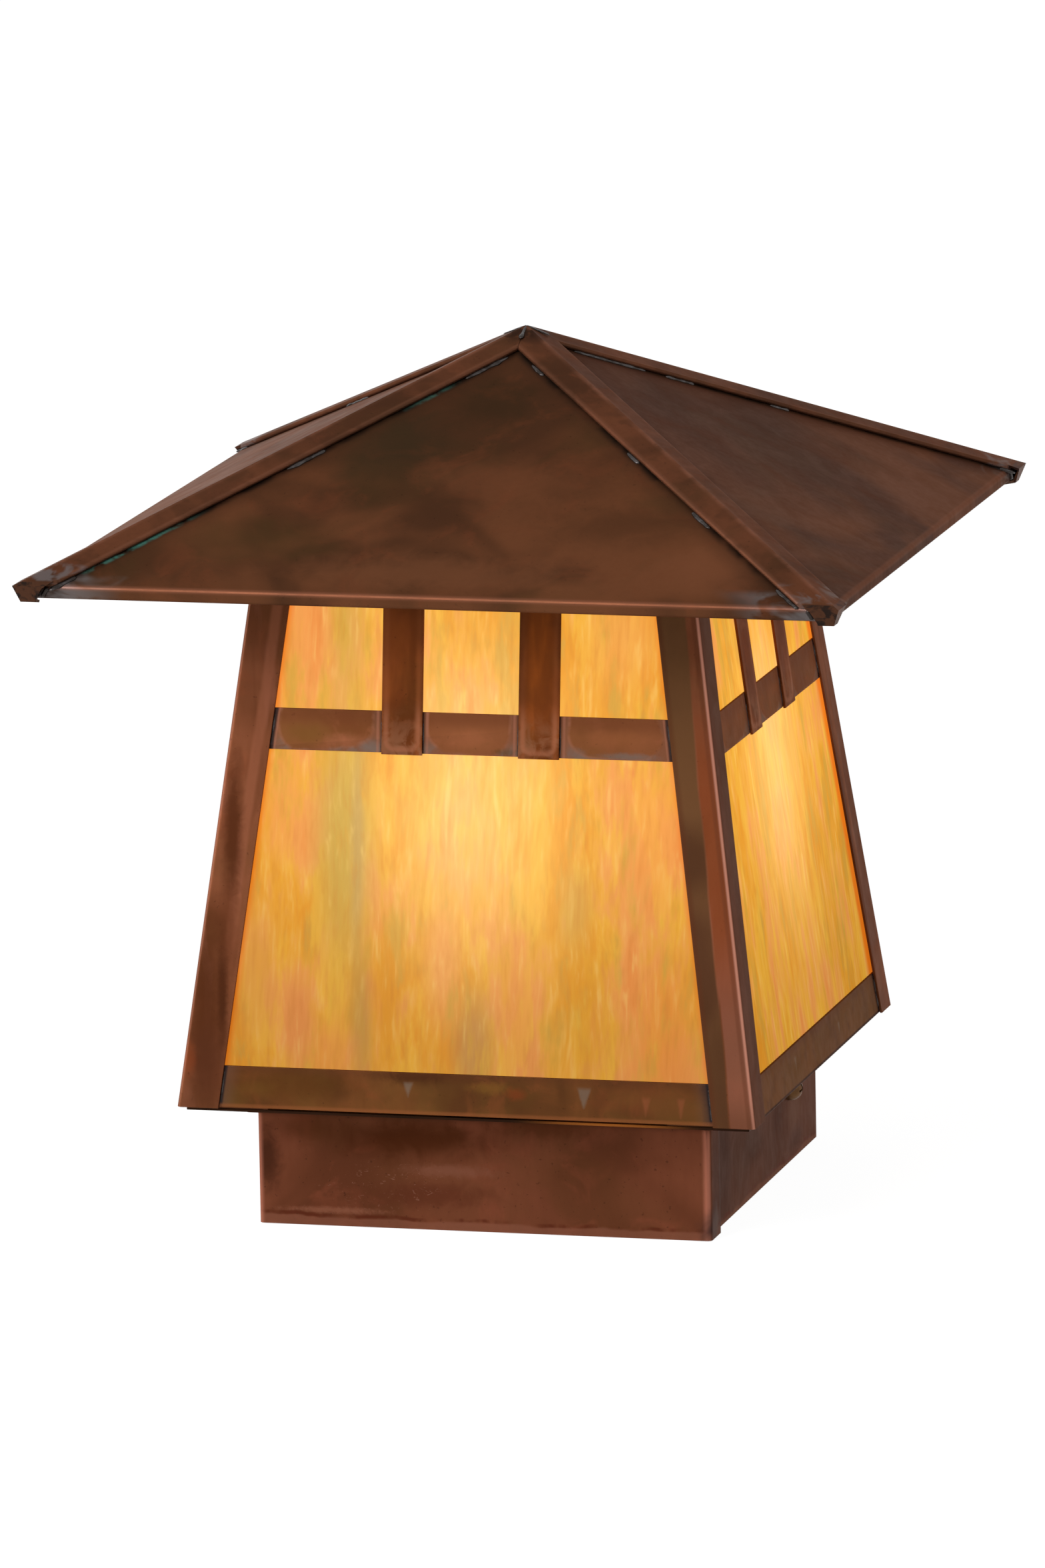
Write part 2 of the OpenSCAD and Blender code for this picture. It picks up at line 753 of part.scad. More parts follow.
// Pan-head machine screws through the porcelain ears, with hexagon nuts below
module socket_screws() {
    nut_h = 2.4;
    tail = holder_z - bracket_t - nut_h - 0.4;
    top = holder_z + holder_base_t;
    color(steel) for (s = [-1, 1]) translate([s * holder_screw_x, 0, 0]) {
        translate([0, 0, tail]) cylinder(top - tail, d = machine_d, $fn = round_fn);
        translate([0, 0, top]) dome(1.8 * machine_d, 0.6 * machine_d);
        translate([0, 0, holder_z - bracket_t - nut_h])
            cylinder(nut_h, d = 1.9 * machine_d, $fn = 6);
    }
}

// Rubber ring that lines the wire hole in the base plate
module wire_grommet() {
    groove_r = grommet_hole_d / 2 - grommet_gap;
    edge_r = grommet_d / 2;
    color([0.09, 0.09, 0.09]) translate([0, wire_y, collar_h])
        rotate_extrude($fn = round_fn) polygon([
            [wire_d / 2, -grommet_lip],
            [edge_r - 1, -grommet_lip],
            [edge_r, 0.6 - grommet_lip],
            [edge_r, 0],
            [groove_r, 0],
            [groove_r, plate_t],
            [edge_r, plate_t],
            [edge_r, plate_t + grommet_lip - 0.6],
            [edge_r - 1, plate_t + grommet_lip],
            [wire_d / 2, plate_t + grommet_lip]
        ]);
}

// Green earth screw with its nut under the base plate
module earth_screw() {
    nut_h = 2.4;
    color([0.15, 0.45, 0.22]) translate([0, -earth_y, 0]) {
        translate([0, 0, collar_h - nut_h - 0.6])
            cylinder(plate_t + nut_h + 0.6, d = machine_d, $fn = round_fn);
        translate([0, 0, collar_h - nut_h]) cylinder(nut_h, d = 1.9 * machine_d, $fn = 6);
        translate([0, 0, plate_top]) cylinder(0.8, d = 2.4 * machine_d, $fn = round_fn);
        translate([0, 0, plate_top + 0.8]) cylinder(2.4, d = 1.9 * machine_d, $fn = 6);
    }
}

// ---- Bulb ----

function bezier(p, t) =
    pow(1 - t, 3) * p[0] + 3 * t * pow(1 - t, 2) * p[1] + 3 * t * t * (1 - t) * p[2]
    + pow(t, 3) * p[3];

// Outline of the bulb from its neck to its top, shrunk by the wall for the inside
function bulb_outline(wall) = let (
    r = bulb_r - wall,
    meet = [r * cos(neck_angle), globe_z - r * sin(neck_angle)],
    along = [sin(neck_angle), cos(neck_angle)],
    neck = [[neck_r - wall, neck_z + 4], [neck_r - wall, neck_z + 16], meet - 8 * along, meet]
) concat(
    [[neck_r - wall, neck_z]],
    [for (i = [0:6]) bezier(neck, i / 6)],
    [for (a = [-neck_angle + 12.5:12.5:89]) [r * cos(a), globe_z + r * sin(a)]],
    [[0, globe_z + r]]
);

module bulb_glass() {
    inside = bulb_outline(bulb_wall);
    last = len(inside) - 1;
    color([0.97, 0.95, 0.88, 0.9]) translate([0, 0, bulb_z]) rotate_extrude($fn = round_fn)
        polygon(concat(bulb_outline(0), [for (i = [0:last]) inside[last - i]]));
}

// Screw cap with its black insulator and the centre contact's tip
module bulb_cap() {
    outer = cap_d / 2;
    color(brass) translate([0, 0, bulb_z]) rotate_extrude($fn = round_fn) polygon([
        [0, 0],
        [3.5, 0.4],
        [4.8, 1.6],
        [5.2, 2],
        [outer - 1.6, 5.5],
        [outer, 6.5],
        [outer, cap_shell_h],
        [outer - 0.4, cap_shell_h],
        [outer - 0.4, cap_solid_h],
        [0, cap_solid_h]
    ]);
}

// ---- Post screws ----

module post_screw() {
    point = 5;
    translate([collar_out, screw_y, screw_z]) rotate([0, 90, 0]) {
        dome(screw_head_d, 0.36 * screw_head_d);
        translate([0, 0, point - screw_len])
            cylinder(screw_len - point, d = screw_d, $fn = round_fn);
        translate([0, 0, -screw_len])
            cylinder(point, d1 = 0.6, d2 = screw_d, $fn = round_fn);
    }
}

module post_screw_right() { color(base_brown) post_screw(); }
module post_screw_left() { color(base_brown) on_side(2) post_screw(); }

roof_panel_front();
roof_panel_right();
roof_panel_back();
roof_panel_left();
hip_cap_front_right();
hip_cap_back_right();
hip_cap_back_left();
hip_cap_front_left();
corner_post_front_right();
corner_post_back_right();
corner_post_back_left();
corner_post_front_left();
bottom_rail_front();
bottom_rail_right();
bottom_rail_back();
bottom_rail_left();
mid_rail_front();
mid_rail_right();
mid_rail_back();
mid_rail_left();
top_rail_front();
top_rail_right();
top_rail_back();
top_rail_left();
muntin_front_left();
muntin_front_right();
muntin_right_front();
muntin_right_back();
muntin_back_right();
muntin_back_left();
muntin_left_back();
muntin_left_front();
glass_pane_front();
glass_pane_right();
glass_pane_back();
glass_pane_left();
glass_tabs_front();
glass_tabs_right();
glass_tabs_back();
glass_tabs_left();
corner_gussets();
collar();
base_plate();
locating_clips();
socket_bracket();
bracket_rivets();
socket_body();
socket_shell();
socket_contact();
socket_screws();
wire_grommet();
earth_screw();
bulb_glass();
bulb_cap();
post_screw_right();
post_screw_left();
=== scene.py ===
# %% [markdown]
# # A copper deck post cap light
#
# The light is a small lantern for the top of a timber deck post. A folded copper
# collar slips over the post, a flat plate closes it, and a flared lantern with
# amber glass stands on that plate under a hipped copper roof.
#
# Every solid part already has its true shape and size in the packed frame. What is
# made here is what the frame can't hold: the aged copper, the streaky glass, the
# solder, the screw threads, and the light that falls on it all. The frame is loaded
# first. The finished light must still fit inside it.

# %% Load the frame
import math
import random
import bmesh
import bpy
from mathutils import Matrix, Vector, noise


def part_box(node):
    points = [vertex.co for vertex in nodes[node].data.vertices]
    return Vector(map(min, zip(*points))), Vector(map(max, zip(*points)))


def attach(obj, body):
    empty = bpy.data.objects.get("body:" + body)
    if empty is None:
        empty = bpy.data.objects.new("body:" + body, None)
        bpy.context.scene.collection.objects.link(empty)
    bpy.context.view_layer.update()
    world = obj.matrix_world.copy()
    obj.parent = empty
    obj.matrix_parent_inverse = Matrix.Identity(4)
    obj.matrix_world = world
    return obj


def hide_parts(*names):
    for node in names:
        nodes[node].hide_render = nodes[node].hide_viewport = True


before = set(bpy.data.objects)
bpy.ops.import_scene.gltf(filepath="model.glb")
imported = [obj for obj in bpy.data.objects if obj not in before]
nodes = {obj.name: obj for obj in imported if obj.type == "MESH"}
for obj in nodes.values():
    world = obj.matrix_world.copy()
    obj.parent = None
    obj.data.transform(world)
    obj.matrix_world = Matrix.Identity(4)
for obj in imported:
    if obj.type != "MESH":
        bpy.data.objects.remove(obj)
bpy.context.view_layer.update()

# %% [markdown]
# ## The sizes that several pieces share
#
# The solder, the glass and the marks on the copper all follow the same few lines of
# the lantern: the lean of its sides, the slope of its roof and the heights of its
# rails. They are read from the nodes' own boxes where a box gives them, so that a
# piece made here lies on the solid it belongs to.

# %% Shared lines of the lantern
MM = 0.001
LEAN_ANGLE, ROOF_ANGLE = math.radians(7.54), math.radians(25.8)
LEAN, RISE = math.tan(LEAN_ANGLE), math.tan(ROOF_ANGLE)
SHEET, LEG_WIDTH, BEAD = 0.8 * MM, 13.4 * MM, 3 * MM

rail_low, rail_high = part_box("bottom_rail_front")
post_low, post_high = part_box("corner_post_front_right")
roof_low, roof_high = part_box("roof_panel_front")
FRAME_Z = rail_low.z
FRAME_HALF = post_high.x + (post_low.z - FRAME_Z) * LEAN
ROOF_HALF = -roof_low.y
PEAK_Z = roof_high.z + 0.2 * MM * RISE
EAVE_Z = PEAK_Z - ROOF_HALF * RISE
MID_LOW, MID_HIGH = (corner.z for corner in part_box("mid_rail_front"))
BAR_IN, BAR_OUT = (corner.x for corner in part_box("muntin_front_right"))
COLLAR_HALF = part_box("collar")[1].y - BEAD
FACE_OUT = Vector((0, -math.cos(LEAN_ANGLE), math.sin(LEAN_ANGLE)))
FACE_UP = Vector((0, math.sin(LEAN_ANGLE), math.cos(LEAN_ANGLE)))


def half_at(z):
    """Half the lantern's width at a height, which may be a number or a shader's wire."""
    return FRAME_HALF - (z - FRAME_Z) * LEAN


def turned(point, side):
    """A point of the front side, turned to side 0 to 3."""
    return Matrix.Rotation(side * math.pi / 2, 3, "Z") @ Vector(point)


def add_object(name, data):
    """A new object in the scene."""
    thing = bpy.data.objects.new(name, data)
    bpy.context.scene.collection.objects.link(thing)
    return thing


print("frame half", round(FRAME_HALF, 4), "peak", round(PEAK_Z, 4), "eave", round(EAVE_Z, 4))

# %% [markdown]
# ## The camera
#
# The photograph was taken with a long lens from a little to the right and a little
# above. The turn, tilt, roll and distance below were solved from the corners of the
# collar, the lantern and the roof, so the render and the photograph can be laid over
# each other. A long lens keeps the upright edges nearly parallel.

# %% Camera
TURN, TILT, ROLL = (math.radians(a) for a in (14.84, 11.26, -1.05))
DISTANCE, ASIDE, ABOVE, AIM_Z = 4.247, -4.3 * MM, 27.1 * MM, 0.1
FOCAL_PIXELS, PHOTO_HEIGHT, SENSOR = 20271, 2352, 36

forward = Vector((-math.sin(TURN) * math.cos(TILT), math.cos(TURN) * math.cos(TILT),
                  -math.sin(TILT)))
level_right = Vector((math.cos(TURN), math.sin(TURN), 0))
level_up = level_right.cross(forward)
right = math.cos(ROLL) * level_right + math.sin(ROLL) * level_up
up = math.cos(ROLL) * level_up - math.sin(ROLL) * level_right

camera = add_object("camera", bpy.data.cameras.new("camera"))
camera.data.sensor_width = SENSOR
camera.data.lens = FOCAL_PIXELS * SENSOR / PHOTO_HEIGHT
camera.data.clip_start, camera.data.clip_end = 0.1, 100
place = Vector((0, 0, AIM_Z)) + ASIDE * right + ABOVE * up - DISTANCE * forward
axes = Matrix((right, up, -forward)).transposed()
camera.matrix_world = Matrix.Translation(place) @ axes.to_4x4()
bpy.context.scene.camera = camera
bpy.context.scene.view_settings.view_transform = "Standard"
print("lens", round(camera.data.lens, 1), "mm")

# %% [markdown]
# ## Writing a finish as a sum
#
# A material in Blender is a graph of nodes. Placing each node by hand hides what the
# graph says, so a small class wraps a socket and lets Python's own signs add the
# Math nodes. `1 - mask` then reads as it would on paper. A second class holds one
# material: it adds any other kind of node, and lays one colour over another.

# %% Wire: a socket with Python's signs
def join(tree, socket, value):
    """Links a wire to a socket, or sets the socket's own value."""
    if isinstance(value, Wire):
        tree.links.new(value.socket, socket)
    else:
        socket.default_value = value


def add_node(tree, kind, settings=None, inputs=None, out=0):
    """Adds a node: its settings first, then the values or links of its sockets."""
    node = tree.nodes.new(kind)
    for name, value in (settings or {}).items():
        setattr(node, name, value)
    for socket, value in (inputs or {}).items():
        join(tree, node.inputs[socket], value)
    return Wire(tree, node.outputs[out])


def sign(operation, swapped=False):
    """A method that adds one Math node. Swapped is for a number left of the sign."""
    def apply(self, other):
        return self.maths(operation, *((other, self) if swapped else (self, other)))
    return apply


class Wire:
    """An output socket that can be added, multiplied and compared."""

    def __init__(self, tree, socket):
        self.tree, self.socket = tree, socket

    def maths(self, operation, *values):
        return add_node(self.tree, "ShaderNodeMath", {"operation": operation},
                        dict(enumerate(values)))

    def __abs__(self):
        return self.maths("ABSOLUTE", self)

    def exp(self):
        return self.maths("EXPONENT", self)

    def ease(self, low, high):
        """0 below low, 1 above high, smooth between. High may be the lower one."""
        if low > high:
            return 1 - self.ease(high, low)
        return add_node(self.tree, "ShaderNodeMapRange", {"interpolation_type": "SMOOTHSTEP"},
                        {"Value": self, "From Min": low, "From Max": high})

    __add__, __radd__ = sign("ADD"), sign("ADD", True)
    __sub__, __rsub__ = sign("SUBTRACT"), sign("SUBTRACT", True)
    __mul__, __rmul__ = sign("MULTIPLY"), sign("MULTIPLY", True)
    __truediv__, __pow__ = sign("DIVIDE"), sign("POWER")
    larger, smaller = sign("MAXIMUM"), sign("MINIMUM")


print("a wire knows", [name for name in vars(Wire) if not name.startswith("__")])

# %% Finish: one material and its shader
def tint(red, green, blue):
    """A colour as it looks on screen, 0 to 255, as the light values shaders use."""
    def light(value):
        value /= 255
        return value / 12.92 if value <= 0.04045 else ((value + 0.055) / 1.055) ** 2.4
    return light(red), light(green), light(blue), 1


USUAL_ROUGH = 0.46


class Finish:
    """A material under one name, with its Principled shader."""

    def __init__(self, name, **settings):
        self.material = bpy.data.materials.new(name)
        self.material.use_nodes = True
        self.tree = self.material.node_tree
        self.shader = self.tree.nodes["Principled BSDF"]
        for socket, value in settings.items():
            self.set(socket.replace("_", " "), value)
        self.at = self.node("ShaderNodeTexCoord", out="Object")
        self.x, self.y, self.z = (
            self.node("ShaderNodeSeparateXYZ", {}, {"Vector": self.at}, out=axis)
            for axis in "XYZ")

    def reach(self):
        """Distance from the middle, out to the side of the lantern that a point is on."""
        return abs(self.x).larger(abs(self.y))

    def along(self):
        """Distance from the middle of that side, along it."""
        return abs(self.x).smaller(abs(self.y))

    def set(self, socket, value):
        join(self.tree, self.shader.inputs[socket], value)

    def node(self, kind, settings=None, inputs=None, out=0):
        return add_node(self.tree, kind, settings, inputs, out)

    def stretched(self, stretch=(1, 1, 1), shift=(0, 0, 0), start=None):
        """Object coordinates, scaled along each axis so that a pattern runs that way."""
        return self.node("ShaderNodeVectorMath", {"operation": "MULTIPLY_ADD"},
                         {0: start or self.at, 1: stretch, 2: shift})

    def cloud(self, size, detail=3, rough=0.5, bend=0.0, stretch=(1, 1, 1), shift=(0, 0, 0),
              start=None):
        """Noise with features of about this size in metres, from 0 to 1."""
        return self.node("ShaderNodeTexNoise", {}, {
            "Vector": self.stretched(stretch, shift, start), "Scale": 1 / size,
            "Detail": detail, "Roughness": rough, "Distortion": bend})

    def blend(self, mask, first, second):
        return self.node("ShaderNodeMix", {"data_type": "RGBA"}, {0: mask, 6: first, 7: second},
                         out=2)

    def spot(self, centre, size, ragged=0.0):
        """1 at a place, falling to 0 at size from it. A ragged edge follows a cloud."""
        shift = tuple(-c / s for c, s in zip(centre, size))
        far = self.node("ShaderNodeVectorMath", {"operation": "LENGTH"},
                        {0: self.stretched(tuple(1 / s for s in size), shift)}, out="Value")
        if ragged:
            far = far + (self.cloud(min(size) * 0.9, 3, 0.6, 0.8) - 0.5) * ragged
        return far.ease(1.0, 0.15)

    def paint(self, mask, colour, rough=None):
        """Lays another colour, and another roughness, over this one where the mask is 1."""
        colour = colour if isinstance(colour, Wire) else tint(*colour)
        self.colour = self.blend(mask, self.colour, colour)
        if rough is not None:
            self.rough = self.rough + mask * (rough - USUAL_ROUGH)

    def patches(self, ragged, rows, where=None):
        """Paints soft patches. Each row is a centre and a size in mm, a share and a colour."""
        for row in rows:
            centre, size = ([v / 1000 for v in row[i:i + 3]] for i in (0, 3))
            mask = self.spot(centre, size, ragged) * row[6]
            self.paint(mask * where if where else mask, row[7:])

    def relief(self, height):
        """Bumps of a height in metres."""
        self.set("Normal", self.node("ShaderNodeBump", {}, {
            "Height": height, "Distance": 1.0, "Strength": 1.0}))


print("tint of mid brown", [round(c, 3) for c in tint(99, 57, 37)])

# %% [markdown]
# ## Floor, room and lamps
#
# The photograph has a pure white background. Its white comes from the floor and the
# room as the camera, glossy and transmitted rays see them, and not from more light
# on the copper. The lamps stay soft. A wide one overhead draws the bright line along
# the folded eave, a large one at the left lights the front, and a faint one at the
# right keeps the right side from going black.

# %% White room
ROOM_LIGHT, FLOOR_GLOW, FLOOR_SHARE = 0.26, 1.20, 0.8
FLOOR_HALF, FLOOR_DROP = 40, 0.3 * MM


def seen_white(tree):
    """1 for rays that should find plain white: camera, glossy and transmission."""
    seen, glossy, through = (add_node(tree, "ShaderNodeLightPath", out="Is %s Ray" % kind)
                             for kind in ("Camera", "Glossy", "Transmission"))
    return seen.larger(glossy).larger(through)


world = bpy.data.worlds.new("room")
bpy.context.scene.world = world
world.use_nodes = True
tree = world.node_tree
room = tree.nodes["Background"]
room.inputs["Color"].default_value = (1, 1, 1, 1)
join(tree, room.inputs["Strength"], seen_white(tree) * (1 - ROOM_LIGHT) + ROOM_LIGHT)

floor_finish = bpy.data.materials.new("pale_floor")
floor_finish.use_nodes = True
tree = floor_finish.node_tree
tree.nodes.clear()
matte = add_node(tree, "ShaderNodeBsdfDiffuse", {}, {"Color": (0.92, 0.92, 0.92, 1)})
glow = add_node(tree, "ShaderNodeEmission", {}, {"Strength": FLOOR_GLOW})
either = add_node(tree, "ShaderNodeMixShader", {},
                  {0: seen_white(tree) * FLOOR_SHARE, 1: matte, 2: glow})
join(tree, tree.nodes.new("ShaderNodeOutputMaterial").inputs["Surface"], either)

floor_mesh = bpy.data.meshes.new("floor")
floor_mesh.from_pydata([(x * FLOOR_HALF, y * FLOOR_HALF, -FLOOR_DROP)
                        for x, y in ((-1, -1), (1, -1), (1, 1), (-1, 1))], [], [(0, 1, 2, 3)])
floor = add_object("floor", floor_mesh)
floor.data.materials.append(floor_finish)
print("room and floor made")

# %% Lamps
for name, place, aim, size, watts in (
        ("overhead_lamp", (-0.9, -1.5, 1.4), (0, 0, 0.15), (1.4, 1.0), 33),
        ("right_lamp", (1.9, -0.5, 0.55), (0, 0, 0.12), (0.7, 1.2), 1.5),
        ("left_lamp", (-1.9, -1.0, 0.7), (0, 0, 0.12), (0.9, 1.2), 15)):
    lamp = bpy.data.lights.new(name, "AREA")
    lamp.shape, lamp.energy = "RECTANGLE", watts
    lamp.size, lamp.size_y = size
    soft_box = add_object(name, lamp)
    soft_box.location = place
    soft_box.rotation_euler = (Vector(aim) - Vector(place)).to_track_quat("-Z", "Y").to_euler()
    print(name, watts, "W")

# %% [markdown]
# ## Aged copper
#
# New copper is pink and bright. This one was darkened by a chemical patina, which is
# why it is brown with cloudy olive and near-black patches. The finish is built in
# that order: a warm brown, broad clouds of dark brown and olive, smaller reddish
# clouds, fine speckle, and last a paler line along every folded corner. That line is
# mostly a painted highlight, where a bend would catch the lamps, with some wear where
# the sheet was folded and handled. On all three kinds of piece the corners lie on the
# lantern's diagonals, where x and y are equal, so one short sum finds them. Where the
# photograph shows a patch at a certain place, a row in a table of patches puts it there.

# %% A copper finish with its clouds
class Copper(Finish):
    """Patinated copper sheet. Its clouds are about `cloud` metres across."""

    def __init__(self, name, warm, dark, olive, red, cloud=0.05, seed=0.0, olive_share=0.5):
        super().__init__(name, Metallic=0.5, Specular_IOR_Level=0.025,
                         Specular_Tint=(0.62, 0.42, 0.34, 1))
        shift = (seed, seed * 0.7, seed * 1.3)
        self.broad = self.cloud(cloud, 3, 0.5, 0.6, shift=shift)
        second = self.cloud(cloud * 0.75, 4, 0.55, 0.8, shift=(seed + 3, seed + 1, seed))
        self.small = self.cloud(cloud * 0.3, 4, 0.6, 1.0, shift=shift)
        self.grain = self.cloud(0.0022, 2, 0.6, stretch=(1, 1, 0.35))
        self.swell = self.cloud(0.034, 1, 0.4, shift=(seed + 5, seed, seed + 2))
        self.corner = abs(abs(self.x) - abs(self.y))
        self.rough = 0.40 + self.small.ease(0.3, 0.8) * 0.12 + self.grain.ease(0.3, 0.8) * 0.05
        self.colour = tint(*warm)
        self.paint(self.broad.ease(0.40, 0.64), dark)
        self.paint(second.ease(0.48, 0.68) * olive_share, olive)
        self.paint(self.small.ease(0.50, 0.72) * 0.5, red)
        self.paint(self.grain.ease(0.35, 0.75) * 0.14, dark)
        self.paint(self.cloud(0.0011, 1, 0.5).ease(0.70, 0.78) * 0.4, (30, 18, 10))

    def finished(self, swell=0.0003, more=0.0):
        """Joins colour, roughness and the sheet's own unevenness to the shader."""
        self.set("Base Color", self.colour)
        self.set("Roughness", self.rough)
        self.relief(self.swell * swell + self.grain * 0.0000015 + more)
        print(self.material.name, "has", len(self.tree.nodes), "shader nodes")
        return self.material


print("copper is ready to be mixed")

# %% [markdown]
# ## Roof panels
#
# The roof is the darkest copper. Along the hip caps a thin dark line of flux and
# solder was left, with a little blue-green verdigris in the left front seam, and
# grey smears of solder lie near the eaves' corners. A paler line follows the hem
# along the eave: a painted highlight on the fold, with a little polish from handling.
# The right panel gets painted shade, as it faces away from the lamps.

# %% Roof finish
HEM_AWAY = 7.6 * MM * math.sqrt(2)
EAVE_SHEEN_AND_WEAR = (136, 84, 64)
VERDIGRIS = (66, 112, 100)

roof = Copper("roof_copper_aged", (90, 54, 34), (66, 41, 26), (60, 44, 25),
              (98, 54, 34), cloud=0.062, seed=4.0, olive_share=0.6)
edge_reach = roof.reach()
roof.patches(1.0, [
    (-30, -56, 245, 26, 30, 20, 0.75, 48, 38, 24),
    (0, -36, 254, 22, 24, 12, 0.65, 46, 34, 20),
    (54, -92, 226, 34, 14, 16, 0.7, 50, 32, 19),
    (-58, -102, 222, 34, 16, 16, 0.55, 66, 48, 26),
    (86, -110, 219, 26, 18, 16, 0.55, 112, 68, 46),
    (10, -72, 237, 34, 16, 16, 0.5, 104, 62, 40),
    (0, -116, 216.5, 60, 14, 10, 0.55, 110, 68, 45),
    (66, 34, 240, 26, 34, 20, 0.6, 50, 38, 28),
    (44, 0, 250, 16, 20, 14, 0.5, 54, 38, 28),
    (118, 50, 214, 18, 60, 16, 0.5, 78, 50, 38),
    (100, -60, 224, 20, 30, 20, 0.5, 64, 46, 36)])
# Painted shade: the right panel is darker, as it faces away from the lamps.
right_panel_shade = (roof.x - abs(roof.y)).ease(0.0, 0.002)
roof.paint(right_panel_shade * (0.30 + roof.small.ease(0.3, 0.7) * 0.25), (50, 34, 26))
# Painted highlight along the eave's folded hem, with a little wear from handling.
eave_sheen_and_wear = (roof.z.ease(EAVE_Z - 0.0016, EAVE_Z - 0.0004)
       * edge_reach.ease(ROOF_HALF - 0.0016, ROOF_HALF - 0.0003))
roof.paint(edge_reach.ease(0.060, 0.118) * roof.broad.ease(0.66, 0.42) * 0.45, (112, 68, 44))
along_seam = roof.cloud(0.016, 3, 0.6, shift=(1, 5, 2)).ease(0.42, 0.6)
seam = roof.corner.ease(HEM_AWAY + 0.0035, HEM_AWAY - 0.0004)
wide_seam = roof.corner.ease(HEM_AWAY + 0.012, HEM_AWAY)
roof.paint(wide_seam * 0.45, (58, 36, 24), 0.5)
roof.paint(seam * (0.35 + along_seam * 0.6), (30, 22, 17), 0.35)
green_place = roof.spot((-0.098, -0.108, 0.222), (0.03, 0.03, 0.03)).larger(
    roof.spot((-0.025, -0.032, 0.258), (0.014, 0.014, 0.014)) * 0.7)
roof.paint(green_place * roof.corner.ease(HEM_AWAY + 0.0022, HEM_AWAY)
           * roof.cloud(0.004, 2, 0.6).ease(0.35, 0.6), VERDIGRIS, 0.7)
smear_noise = roof.cloud(0.011, 3, 0.6, 0.8, stretch=(0.6, 0.6, 1.5)).ease(0.42, 0.60)
corner_near = (roof.corner.ease(0.034, 0.013)
               * edge_reach.ease(ROOF_HALF - 0.0085, ROOF_HALF - 0.0045))
roof.paint(corner_near * smear_noise * 0.60, (108, 104, 104), 0.3)
# Paint the eave's highlight line.
roof.paint(eave_sheen_and_wear * 0.35, EAVE_SHEEN_AND_WEAR, 0.34)
roof_material = roof.finished()

# %% [markdown]
# ## Hip caps
#
# Each cap is a folded strip, a little redder than the panels because it was bent
# after the patina. Its ridge and its hems are paler lines: painted highlights where
# the bends catch the light, with a little wear. The ends, where the fold wraps the
# corner of the eaves, were soldered and are dark in two tones.

# %% Hip cap finish
cap = Copper("hip_cap_copper", (94, 56, 38), (68, 42, 28), (64, 45, 28),
             (100, 58, 40), cloud=0.04, seed=9.0, olive_share=0.35)
reach = cap.reach()
# Painted highlights along the ridge and the hems, where the bends catch the light, with a little
# wear.
ridge_sheen_and_wear = cap.corner.ease(0.0022, 0.0)
hem_sheen_and_wear = abs(cap.corner - 0.0098).ease(0.0016, 0.0)
cap.paint(ridge_sheen_and_wear * (0.10 + cap.small.ease(0.3, 0.7) * 0.30), (140, 94, 76), 0.36)
cap.paint(hem_sheen_and_wear * 0.25, (122, 80, 62))
cap.paint(cap.cloud(0.007, 3, 0.6, stretch=(0.5, 0.5, 1), shift=(4, 4, 2)).ease(0.50, 0.62) * 0.35,
          (60, 38, 26))
fold_end = reach.ease(ROOF_HALF + 0.0004, ROOF_HALF + 0.0012).larger(
    cap.z.ease(EAVE_Z + 0.0006, EAVE_Z - 0.0004))
fold_tone = cap.blend(cap.cloud(0.0045, 3, 0.6, 0.6, shift=(3, 7, 1)).ease(0.44, 0.58),
                      tint(32, 28, 26), tint(74, 48, 35))
cap.paint(fold_end * 0.92, fold_tone, 0.32)
smear = cap.cloud(0.010, 3, 0.6, 0.8, stretch=(0.7, 0.7, 1.6), shift=(8, 2, 1)).ease(0.44, 0.58)
near_end = reach.ease(0.1175, 0.1215) * reach.ease(ROOF_HALF + 0.0008, ROOF_HALF - 0.0004)
cap.paint(near_end * smear * 0.65, (104, 98, 98), 0.3)
top = reach.ease(0.011, 0.004)
cap.paint(top * cap.cloud(0.006, 3, 0.6, shift=(2, 2, 7)).ease(0.42, 0.58) * 0.8, (28, 22, 18),
          0.32)
cap_material = cap.finished()

# %% [markdown]
# ## Posts, rails and glazing bars
#
# The frame is the warmest copper. The posts show long bands that run with the
# fold: dark, red and pink side by side. The rails carry heat marks from soldering,
# a blue grey near each joint and a paler oval in the middle of each stretch, so
# they get a finish of their own. A few small V marks on the bottom rails are old
# drips of solder.

# %% Post finish
post = Copper("post_copper", (120, 70, 46), (96, 54, 32), (88, 56, 30),
              (122, 66, 42), cloud=0.05, seed=2.0, olive_share=0.3)
bands = post.cloud(0.007, 3, 0.5, 0.4, stretch=(1, 1, 0.06), shift=(3, 1, 4))
wobble = post.cloud(0.03, 3, 0.5, stretch=(1, 1, 0.5), shift=(6, 2, 1)) - 0.5
post.paint(bands.ease(0.52, 0.62) * 0.35, (84, 46, 26))
post.paint(bands.ease(0.44, 0.36) * 0.35, (136, 82, 62))
leg_inner = LEG_WIDTH - post.corner
other_way = abs(post.x + post.y).ease(0.08, 0.04)
split = post.corner - 0.0030 - (0.232 - post.z) * 0.028 + wobble * 0.003
band = split.ease(-0.0003, 0.0006) * other_way
olive = post.blend(post.swell.ease(0.38, 0.62), tint(94, 64, 39), tint(72, 46, 29))
post.paint(band * 0.9, olive)
post.paint(band * leg_inner.ease(0.0024, 0.0006) * 0.5, (84, 44, 26))
inner = split.ease(0.0, -0.0006) * other_way
warm_part = abs(post.z - 0.118).ease(0.060, 0.030)
post.paint(inner * warm_part * 0.7, (116, 56, 28))
post.paint(inner * post.z.ease(0.105, 0.070) * 0.60, (126, 79, 62))
post.paint(inner * abs(post.corner - 0.0019).ease(0.0009, 0.0002) * 0.40, (84, 46, 30))
